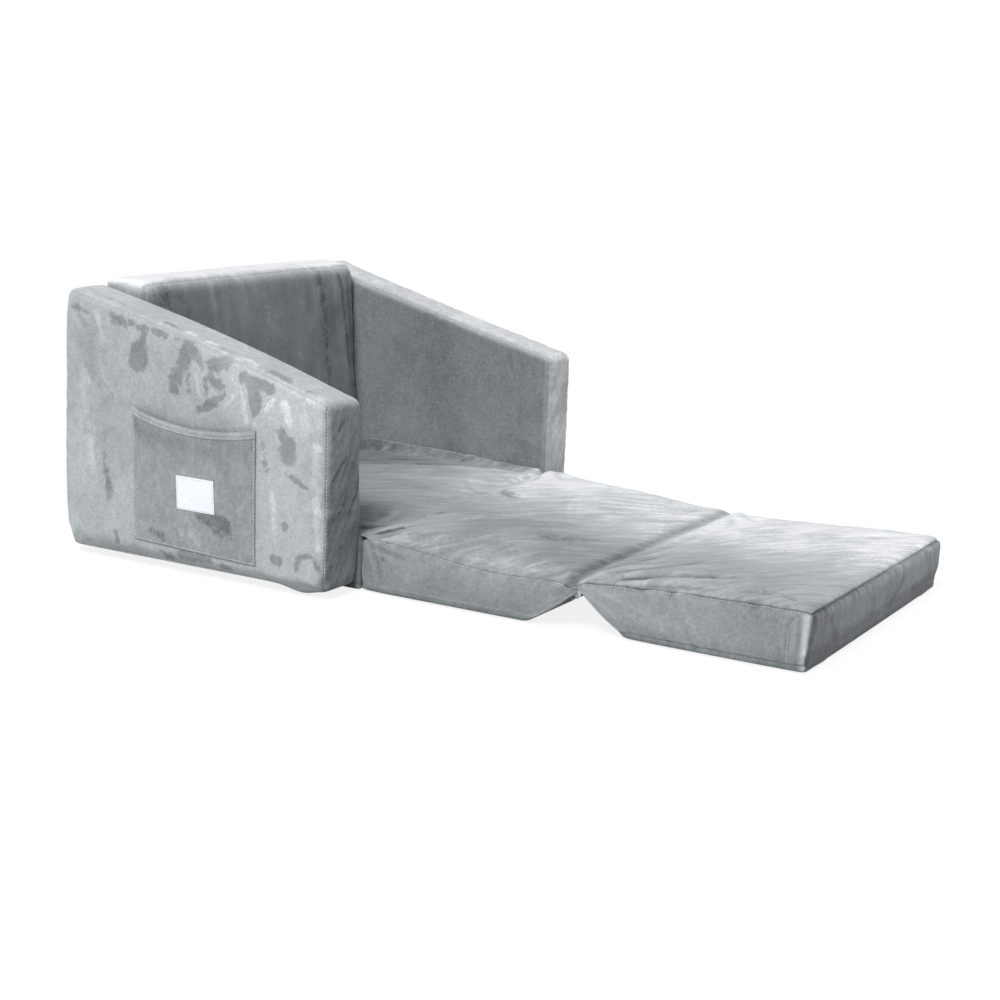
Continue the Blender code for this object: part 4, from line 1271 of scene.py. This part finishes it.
# %% Foam material
foam_material, foam_tree, foam_shader = new_material("polyurethane foam", 0.95)
foam_vector = object_vector(foam_tree)
foam_pile = add_group(foam_tree, pile_group, foam_vector, fibre_scale=620.0)
foam_cloud = add_group(foam_tree, nap_group, foam_vector, scale=14.0)
foam_tone = add_math(foam_tree, "MULTIPLY", foam_pile.outputs["Fleck"], 0.6)
foam_tone = add_scaled(foam_tree, foam_tone, foam_cloud.outputs["Cloud"], 0.4)
add_tones(foam_tree, foam_shader, foam_tone, [(0.0, (0.66, 0.60, 0.42)), (1.0, (0.86, 0.82, 0.66))])
add_bump(foam_tree, foam_shader, foam_pile.outputs["Height"], 0.8, 0.0014)
print("foam shows", foam_cloud.node_tree.name, "and", foam_pile.node_tree.name)

# %% Foam blocks
foam_inset, foam_spacing = 0.007, 0.030
foam_cells, foam_relief = 40.0, 0.0006


def add_foam(cushion, body):
    """A block of foam inside a cushion's cover: the cover's own shape, a little smaller."""
    x_range, outline, radii, shape = cushion.recipe
    name = cushion.name.replace("cushion", "foam")
    radii = [radius + foam_inset for radius in radii]
    mesh, _, _ = shaped_block(name + "_block", x_range, outline, radii, shape, foam_spacing)
    normals = np.array([point.normal for point in mesh.vertices])
    points = points_of(mesh)
    depth = foam_inset + foam_relief * noise_of(points, foam_cells, 9.0)
    set_points(mesh, points - normals * depth[:, None])
    mesh.shade_smooth()
    piece = new_piece(name + "_block", mesh, foam_material)
    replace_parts(piece, name)
    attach(piece, body)
    return piece


foam_blocks = [add_foam(cushion, body) for cushion, body, _ in cushions]
print("foam blocks:", len(foam_blocks))

# %% [markdown]
# ## Stitches
#
# A seam shows as a row of small pale stitches that sit in its groove. Each is a thin bar that lies on the
# cloth, with a gap before the next. A row follows a line of points with their normals, so the same
# helper sews the cushions, the pocket, the hem and the zips.

# %% Thread, and how a row is sewn
thread_material, thread_tree, thread_shader = new_material("pale thread", 0.6)
thread_pile = add_group(thread_tree, pile_group, object_vector(thread_tree), fibre_scale=1500.0)
add_tones(thread_tree, thread_shader, thread_pile.outputs["Fleck"],
          [(0.0, (0.36, 0.38, 0.39)), (1.0, (0.62, 0.64, 0.65))])
stitch_pitch, stitch_length = 0.0055, 0.0042


def add_stitches(shape, line, normals, lift=0.0, stitch_width=0.0009):
    """Adds a row of stitches to a bmesh along a line of points."""
    line, normals = np.array(line, float), np.array(normals, float)
    steps = np.concatenate([[0], np.cumsum(np.linalg.norm(np.diff(line, axis=0), axis=1))])
    count = int(steps[-1] / stitch_pitch)
    for index in range(count):
        centre = (index + 0.5) * stitch_pitch
        ends = [Vector([np.interp(centre + part * stitch_length, steps, line[:, axis]) for axis in range(3)])
                for part in (-0.5, 0.5)]
        out = Vector([np.interp(centre, steps, normals[:, axis]) for axis in range(3)]).normalized()
        along = (ends[1] - ends[0])
        side = out.cross(along).normalized()
        out = along.cross(side).normalized()
        turn = Matrix((along, side * stitch_width, out * stitch_width)).transposed().to_4x4()
        middle_point = (ends[0] + ends[1]) / 2 + out * lift
        made = bmesh.ops.create_cube(shape, size=1.0, matrix=Matrix.Translation(middle_point) @ turn)
        for corner in made["verts"]:
            away = corner.co - middle_point
            corner.co = middle_point + away - along * (away.dot(along) / along.length_squared) * (
                0.25 if away.dot(out) > 0 else 0.0)


def stitch_piece(name, shape, body):
    """Puts a bmesh of stitches in the scene as one piece that rides on a body."""
    print(name, len(shape.faces) // 6)
    piece = new_piece(name, mesh_of(name, shape), thread_material)
    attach(piece, body)


# %% Stitches along the cushions' seams
back_half, foot_front = 0.20, -0.98
lower_seams = 0.03
corner_y = np.interp(np.linspace(0, 1, 15), (0, 0.25, 1), (-0.977, -0.967, -0.966))
corner_z = np.linspace(0.080, 0.016, 15)


def seam_lines(cushion, upper_only):
    """The seam lines of a cushion: points in order and their normals, one line for each straight seam.

    The front seams of the back and the foot show no thread, and upper_only leaves out those at the floor.
    """
    points, normals, distance, run, side = cushion.facts
    on_seam = distance < 1e-5
    for code in np.unique(side[on_seam]):
        chosen = np.flatnonzero(on_seam & (side == code))
        chosen = chosen[np.argsort(run[chosen])]
        mean_y, mean_z = points[chosen, 1].mean(), points[chosen, 2].mean()
        if upper_only and mean_z < lower_seams:
            continue
        if cushion.seam_axis == 1 and mean_y < back_half or mean_y < foot_front:
            continue
        yield points[chosen], normals[chosen]


for cushion, body, _ in cushions:
    rows = bmesh.new()
    for line, normals in seam_lines(cushion, cushion.seam_axis == 2):
        add_stitches(rows, line, normals, 0.0002, 0.0008)
    if cushion is foot:
        line = [(foot.faces.ray_cast(Vector((-1, y, z)), Vector((1, 0, 0)))[0].x, y, z)
                for y, z in zip(corner_y, corner_z)]
        add_stitches(rows, line, [(-1, 0, 0)] * len(line), 0.0, 0.0006)
    stitch_piece(cushion.name.replace("cushion", "stitches"), rows, body)

# %% The middle's cushion, foam and stitches get meshes of their own
for piece in (middle.piece, foam_blocks[4], bpy.data.objects["middle_stitches"]):
    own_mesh(piece)

# %% [markdown]
# ## Folds between the bed's sections
#
# The cover runs on across both folds, so each fold has a strip of plush that lies on the two cushions
# and dips between them. Its points are dropped onto the cushions. On the seat's strip the heights are
# evened out near the fold, so that it forms an even roll.

# %% How a fold strip is made
even_shifts, even_end = (-0.036, -0.024, -0.012, 0.012, 0.024, 0.036), 0.285
strip_wall, strip_lift, strip_tuck = 0.0014, 0.0007, 0.0022


def level_over(cushion, x, y, calm):
    """Height of a cushion's top at a point, evened out along the fold by the share calm."""
    own = cushion.height_at(x, y)
    if calm == 0:
        return own
    beside = [cushion.height_at(x + shift, y) for shift in even_shifts if abs(x + shift) < even_end]
    return own + calm * ((own + sum(beside)) / (1 + len(beside)) - own)


def add_fold_strip(name, node, rear, front, edges, half_width, dip, filling, bridge, bend):
    """A strip of plush across a fold, from the rear cushion's top to the front one's.

    It bridges the rounded edges of both, dips by dip in between, and hangs down by filling under the
    fold. bend is two places along Y, and the fold lies midway between them.
    """
    rear_edge, front_edge = edges
    strip = bmesh.new()
    bmesh.ops.create_grid(strip, x_segments=180, y_segments=36, size=0.5)
    fold_y = (bend[0] + bend[1]) / 2
    for point in strip.verts:
        share = 0.5 - point.co.y
        x = point.co.x * 2 * half_width
        y = rear_edge + share * (front_edge - rear_edge)
        calm = 0.0 if filling else 1 - float(ease(abs(y - fold_y), bridge * 0.5, bridge * 1.6))
        on_rear = level_over(rear, x, max(y, fold_y + bridge), calm)
        on_front = level_over(front, x, min(y, fold_y - bridge), calm)
        height = on_rear + (on_front - on_rear) * float(ease(y, fold_y + bridge, fold_y - bridge))
        height -= dip * math.exp(-((y - fold_y) / (bridge * 0.6)) ** 2)
        edge = min(share, 1 - share, (0.5 - abs(point.co.x)) * 6)
        feather = strip_lift - strip_tuck * (1 - float(ease(edge, 0.0, 0.22)))
        point.co = (x, y, height + feather)
    bmesh.ops.recalc_face_normals(strip, faces=strip.faces[:])
    if sum(face.normal.z for face in strip.faces) < 0:
        bmesh.ops.reverse_faces(strip, faces=strip.faces[:])
    first = set(strip.verts)
    bmesh.ops.solidify(strip, geom=strip.faces[:], thickness=strip_wall)
    second = set(strip.verts) - first
    low = min((first, second), key=lambda group: sum(point.co.z for point in group) / len(group))
    for point in low:
        ripple = 1 + 0.2 * noise.noise(Vector((point.co.x * 14, 0, 5.0)))
        point.co.z -= filling * ripple * math.exp(-((point.co.y - fold_y) / (bridge * 0.9)) ** 2)
    mesh = mesh_of(name, strip)
    points = points_of(mesh)
    up, flat = np.tile((0.0, 0.0, 1.0), (len(points), 1)), np.zeros(len(points))
    tones = [cushion_tone(points, up, flat + 1, flat) for cushion_tone in (rear.tone, front.tone)]
    reach = 0.0035 if filling else 0.030
    share = ease(points[:, 1], fold_y + reach, fold_y - reach)
    # Painted shade in the seat's wrinkles and painted light on their ridges, by their depth.
    creases = 0.0 if filling else 40 * np.clip(crease_relief(points, seat_wrinkles), -0.005, 0.004)
    # Painted light on the underside of the filling, which lies in shade.
    below = np.array([point.normal.z < 0 for point in mesh.vertices]) * (0.42 if filling else 0.0)
    add_attribute(mesh, "nap", tones[0] + (tones[1] - tones[0]) * share + creases + below)
    add_attribute(mesh, "mark", brush(points, [] if filling else seat_wrinkle_shading))
    add_attribute(mesh, "grain", flat + 1)
    mesh.shade_smooth()
    piece = new_piece(name, mesh, bed_plush)
    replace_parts(piece, node)
    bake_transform(piece)
    print(name, "faces:", len(mesh.polygons))


# %% Fold strips
add_fold_strip("seat_fold_cloth", "base_middle_hinge", base, middle, edges=(-0.222, -0.300),
               half_width=0.297, dip=0.0, filling=0.0, bridge=0.014,
               bend=(-0.2545, -0.2670))
add_fold_strip("bed_fold_cloth", "middle_foot_hinge", middle, foot,
               edges=(fold_line + 0.016, fold_line - 0.016), half_width=0.290, dip=0.0022, filling=0.019,
               bridge=0.011, bend=(fold_line + 0.003, fold_line - 0.003))

# %% [markdown]
# ## Pocket
#
# A panel of the same plush is sewn to the left arm on three sides. Its mouth sags and has a doubled hem,
# and a small white cloth label is sewn to it, which stays blank. The panel is a grid whose points stand
# off the arm: nothing at the seams, most in the middle of the mouth.

# %% Pocket sizes
pocket_front, pocket_foot = -0.130, 0.038
pocket_width, pocket_height = 0.241, 0.223
pocket_sag, pocket_slope, pocket_depth = 0.015, 0.011, 0.0085
pocket_wall, hem_wall, hem_height = 0.0016, 0.0016, 0.0115
label_front, label_foot = 0.073, 0.072
label_width, label_height, label_wall = 0.0735, 0.0540, 0.0007
label_start = label_front / pocket_width
label_end = label_start + label_width / pocket_width
print("pocket and label:", (pocket_width, pocket_height), (label_width, label_height))


# %% The pocket's curve
def arm_skin(y, z):
    """Where the left arm's outer face is."""
    return left_arm.faces.ray_cast(Vector((-1.0, y, z)), Vector((1, 0, 0)))[0].x


def mouth_height(across):
    """Height of the pocket's mouth above its foot."""
    return pocket_height - pocket_slope * (1 - across) - pocket_sag * (1 - (2 * across - 1) ** 2)


def pocket_out(across, up):
    """How far the pocket's cloth stands off the arm."""
    up = min(max(up, 0.0), 1.0)
    loose = float(bow(across, 4)) * math.sin(math.pi / 2 * up) ** 0.6
    drape = 0.0016 * noise.noise(Vector((across * 5.0, up * 3.2, 4.0))) * float(bow(across)) * float(bow(up))
    pulls = 0.0012 * math.exp(-((across - 0.10 - 0.25 * (1 - up)) / 0.03) ** 2) * up
    pulls += 0.0012 * math.exp(-((across - 0.92 + 0.22 * (1 - up)) / 0.03) ** 2) * up
    edge = min(across, 1 - across, 1.2 * up)
    pucker = 0.0009 * noise.noise(Vector((up * 34.0, across * 40.0, 7.0)))
    return pocket_depth * loose + drape + pulls + pucker * math.exp(-edge / 0.05)


def pocket_point(across, height, layers):
    """A point on the pocket's cloth, layers metres outside the cloth's inner face."""
    low = 0.009 * across * max(0.0, 1 - height / 0.06)
    y, z = pocket_front + across * pocket_width, pocket_foot + height + low
    return Vector((arm_skin(y, z) - 0.0006 - pocket_out(across, height / pocket_height) - layers, y, z))


# %% A patch of cloth on the pocket
def add_pocket_cloth(name, across_range, height_range, layers, thickness, grid, material, rounding=0.0):
    """A patch of cloth on the pocket's curve, solid and with softened edges."""
    patch = bmesh.new()
    bmesh.ops.create_grid(patch, x_segments=grid[0], y_segments=grid[1], size=0.5)
    for point in patch.verts:
        across = across_range[0] + (point.co.x + 0.5) * (across_range[1] - across_range[0])
        up = point.co.y + 0.5
        low, high = height_range[0](across), height_range[1](across)
        roll = rounding * (1 - float(bow(up, 6)))
        point.co = pocket_point(across, low + up * (high - low), layers - roll)
    bmesh.ops.recalc_face_normals(patch, faces=patch.faces[:])
    if sum(face.normal.x for face in patch.faces) > 0:
        bmesh.ops.reverse_faces(patch, faces=patch.faces[:])
    piece = new_piece(name, mesh_of(name, patch), material)
    wall = piece.modifiers.new("cloth", "SOLIDIFY")
    wall.thickness = thickness
    wall.offset = 1
    soft = piece.modifiers.new("soft edge", "BEVEL")
    soft.width = thickness * 0.3
    soft.segments = 2
    soft.limit_method = "ANGLE"
    graph = bpy.context.evaluated_depsgraph_get()
    solid = bpy.data.meshes.new_from_object(piece.evaluated_get(graph))
    piece.modifiers.clear()
    piece.data = solid
    solid.shade_smooth()
    return piece


# %% Pocket and hem
pocket_cloth = add_pocket_cloth("left_arm_pocket_cloth", (0, 1), (lambda across: 0.0, mouth_height), 0.0,
                                pocket_wall, (80, 72), arm_plush)
pocket_hem = add_pocket_cloth("left_arm_pocket_mouth", (0, 1),
                              (lambda across: mouth_height(across) - hem_height,
                               lambda across: mouth_height(across) + 0.0006),
                              pocket_wall, hem_wall, (80, 6), arm_plush, 0.0010)
pocket_marks = [
    ((-0.402, -0.044, 0.102), (-0.402, -0.078, 0.090), 0.030, -0.75),
    ((-0.396, 0.068, 0.064), (-0.396, 0.054, 0.061), 0.018, -0.72),
    ((-0.402, -0.020, 0.104), (-0.402, -0.034, 0.098), 0.014, -0.50),
    ((-0.400, 0.020, 0.080), (-0.398, -0.020, 0.060), 0.022, 0.50),
    ((-0.400, -0.100, 0.150), (-0.398, -0.106, 0.070), 0.014, 0.50),
]
for piece, level in ((pocket_cloth, 0.48), (pocket_hem, 0.56)):
    points = points_of(piece.data)
    across = (points[:, 1] - pocket_front) / pocket_width
    under = pocket_foot + mouth_height(across) - points[:, 2]
    shade = bump(under, 0.028, 0.018) * (0.04 + 0.07 * ease(across, 0.1, 0.9)) * ease(under, 0.010, 0.016)
    add_attribute(piece.data, "nap", level - shade)
    add_attribute(piece.data, "grain", np.full(len(points), 0.6))
    add_attribute(piece.data, "mark", brush(points, pocket_marks))
    print(piece.name, "faces:", len(piece.data.polygons))

# %% Label, and what the three stand for
label_material, label_tree, label_shader = new_material("white label cloth", 0.55)
label_weave = add_group(label_tree, pile_group, object_vector(label_tree), fibre_scale=1800.0)
add_tones(label_tree, label_shader, label_weave.outputs["Fleck"],
          [(0.0, (0.60, 0.63, 0.69)), (1.0, (0.70, 0.73, 0.79))])
add_bump(label_tree, label_shader, label_weave.outputs["Height"], 0.25, 0.0003)
label = add_pocket_cloth("left_arm_blank_label", (label_start, label_end),
                         (lambda across: label_foot, lambda across: label_foot + label_height),
                         pocket_wall + 0.0002, label_wall, (24, 18), label_material)
mouth_dip = 0.014
for piece, node, slot, flat in (
        (pocket_cloth, "left_arm_pocket", "plush", (pocket_width, pocket_height - mouth_dip)),
        (pocket_hem, "left_arm_pocket_hem", "plush", (pocket_width, hem_height)),
        (label, "left_arm_label", "label_cloth", (label_width, label_height))):
    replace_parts(piece, node)
    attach(piece, "sofa")
    print(piece.name, "is flat", flat)

# %% Pocket stitches
pocket_rows = bmesh.new()
on_hem, on_label = pocket_wall + 0.0015, pocket_wall + 0.0009
inset_share = 0.0022 / pocket_width
shares = np.linspace(0.01, 0.99, 60)
lines = []
for across in (inset_share, 1 - inset_share):
    top = mouth_height(across) - hem_height
    lines.append([pocket_point(across, 0.004 + share * (top - 0.004), pocket_wall) for share in shares])
lines.append([pocket_point(inset_share + share * (1 - 2 * inset_share), 0.0024, pocket_wall)
              for share in shares])
for drop in (0.0022, 0.0090):
    lines.append([pocket_point(share, mouth_height(share) - drop, on_hem) for share in shares])
for up_share in (0.04, 0.96):
    height = label_foot + up_share * label_height
    lines.append([pocket_point(label_start + share * (label_end - label_start), height, on_label)
                  for share in shares])
for side_share in (0.03, 0.97):
    across = label_start + side_share * (label_end - label_start)
    lines.append([pocket_point(across, label_foot + share * label_height, on_label) for share in shares])
for line in lines:
    add_stitches(pocket_rows, line, [(-1, 0, 0)] * len(line), 0.0001, 0.0007)
stitch_piece("left_arm_pocket_stitches", pocket_rows, "sofa")

# %% [markdown]
# ## Zips
#
# Each cover closes with a coil zip: two woven tapes, and a coil whose loops lie across the line where
# they meet. The plush is folded back along both sides and stitched, which frames the coil.

# %% Zip materials
tape_material, tape_tree, tape_shader = new_material("woven zip tape", 0.75)
tape_weave = add_group(tape_tree, pile_group, object_vector(tape_tree), fibre_scale=2200.0)
add_tones(tape_tree, tape_shader, tape_weave.outputs["Fleck"],
          [(0.0, (0.20, 0.215, 0.23)), (1.0, (0.31, 0.33, 0.345))])
add_bump(tape_tree, tape_shader, tape_weave.outputs["Height"], 0.4, 0.0003)
coil_material, coil_tree, coil_shader = new_material("nylon coil", 0.38)
coil_fleck = add_group(coil_tree, pile_group, object_vector(coil_tree), fibre_scale=1200.0)
add_tones(coil_tree, coil_shader, coil_fleck.outputs["Fleck"],
          [(0.0, (0.25, 0.27, 0.285)), (1.0, (0.33, 0.35, 0.365))])
metal_material, metal_tree, metal_shader = new_material("zip slider metal", 0.34)
metal_shader.inputs["Metallic"].default_value = 1.0
metal_wear = add_group(metal_tree, nap_group, object_vector(metal_tree), scale=240.0)
add_tones(metal_tree, metal_shader, metal_wear.outputs["Cloud"],
          [(0.0, (0.33, 0.34, 0.35)), (1.0, (0.52, 0.53, 0.54))])
print("materials:", len(bpy.data.materials))

# %% Parts of a zip
tape_sink, tape_width, tape_thickness = 0.0002, 0.0192, 0.0008
tooth_pitch, tooth_size = 0.0021, (0.0034, 0.0011, 0.0012)
tooth_shift, tooth_slant = 0.0007, 9
lip_width, lip_height, lip_offset, lip_waves = 0.0085, 0.0022, 0.0078, 70.0


def add_piece(name, shape, material, body, tone=None):
    """Puts a bmesh in the scene as a smooth piece that rides on a body."""
    bmesh.ops.recalc_face_normals(shape, faces=shape.faces[:])
    mesh = mesh_of(name, shape)
    if tone is not None:
        add_attribute(mesh, "nap", np.full(len(mesh.vertices), tone))
    mesh.shade_smooth()
    mesh.set_sharp_from_angle(angle=math.radians(45))
    piece = new_piece(name, mesh, material)
    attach(piece, body)
    return piece


def add_zip(cushion, body, tone):
    """The tape, coil and plush lips of a cushion's zip."""
    name = cushion.name.replace("cushion", "zip")
    start, end, out = [Vector(point) for point in zip_ends(cushion.name)]
    along = (end - start).normalized()
    length = (end - start).length
    turn = Matrix((along.cross(out), along, out)).transposed().to_4x4()
    place = Matrix.Translation(start - out * tape_sink) @ turn
    tape = bmesh.new()
    box = Matrix.Diagonal((tape_width, length, tape_thickness, 1))
    bmesh.ops.create_cube(tape, size=1.0, matrix=Matrix.Translation((0, length / 2, -0.0006)) @ box)
    bmesh.ops.bevel(tape, geom=tape.edges[:], offset=0.0002, segments=1, profile=0.5, affect="EDGES",
                    material=-1)
    tape.transform(place)
    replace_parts(add_piece(name + "_tape", tape, tape_material, body), name)
    coil = bmesh.new()
    for index in range(int(length / tooth_pitch)):
        sign = 1 if index % 2 else -1
        spot = Matrix.Translation((sign * tooth_shift, (index + 0.5) * tooth_pitch, 0.0004))
        slant = Matrix.Rotation(math.radians(sign * tooth_slant), 4, "Z")
        bmesh.ops.create_cube(coil, size=1.0, matrix=spot @ slant @ Matrix.Diagonal((*tooth_size, 1)))
    coil.transform(place)
    add_piece(name + "_coil", coil, coil_material, body)
    lips, rows = bmesh.new(), bmesh.new()
    for side in (-1, 1):
        steps = max(8, int(length / 0.008))
        upright = Matrix.Rotation(math.pi / 2, 4, "X")
        rim = bmesh.ops.create_circle(lips, segments=12, radius=1.0, matrix=upright)["verts"]
        for corner in rim:
            x = side * lip_offset + corner.co.x * lip_width / 2
            corner.co = Vector((x, 0, corner.co.z * lip_height / 2))
        edges = list(dict.fromkeys(edge for corner in rim for edge in corner.link_edges))
        first = edges
        for step in range(steps):
            grown = bmesh.ops.extrude_edge_only(lips, edges=edges)["geom"]
            edges = [item for item in grown if isinstance(item, bmesh.types.BMEdge)]
            corners = [item for item in grown if isinstance(item, bmesh.types.BMVert)]
            bmesh.ops.translate(lips, verts=corners, vec=(0, length / steps, 0))
        for loop in (first, edges):
            bmesh.ops.holes_fill(lips, edges=loop, sides=12)
        spots = np.linspace(0.004, length - 0.004, steps)
        row = [place @ Vector((side * (lip_offset + 0.0018), spot, lip_height / 2)) for spot in spots]
        add_stitches(rows, row, [out] * len(row), 0.0)
    for corner in lips.verts:
        spot = Vector((corner.co.x * lip_waves, corner.co.y * lip_waves, 0))
        lift = noise.noise(spot + Vector((0, 0, 7.0)))
        corner.co += Vector((noise.noise(spot) * 0.0007, 0, lift * 0.0004))
    lips.transform(place)
    add_piece(name + "_lips", lips, bed_plush, body, tone)
    stitch_piece(name + "_stitches", rows, body)
    depths = []
    for share in np.linspace(0.02, 0.98, 25):
        spot = start + along * (length * share)
        depths.append(out.dot(spot - cushion.faces.ray_cast(spot + out * 0.02, -out)[0]))
    low, high = round(min(depths) * 1000, 2), round(max(depths) * 1000, 2)
    print(name, "bed lies", low, "to", high, "mm below the tape's middle")


# %% Zips of all six covers
for (cushion, body, _), lip_tone in zip(cushions, (0.52, 0.52, 0.52, 0.45, 0.42, 0.42)):
    add_zip(cushion, body, lip_tone)
sliders = [node for name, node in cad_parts.items() if name.endswith("_slider")]
for slider in sliders:
    slider.data.materials.clear()
    slider.data.materials.append(metal_material)
print("sliders:", len(sliders))
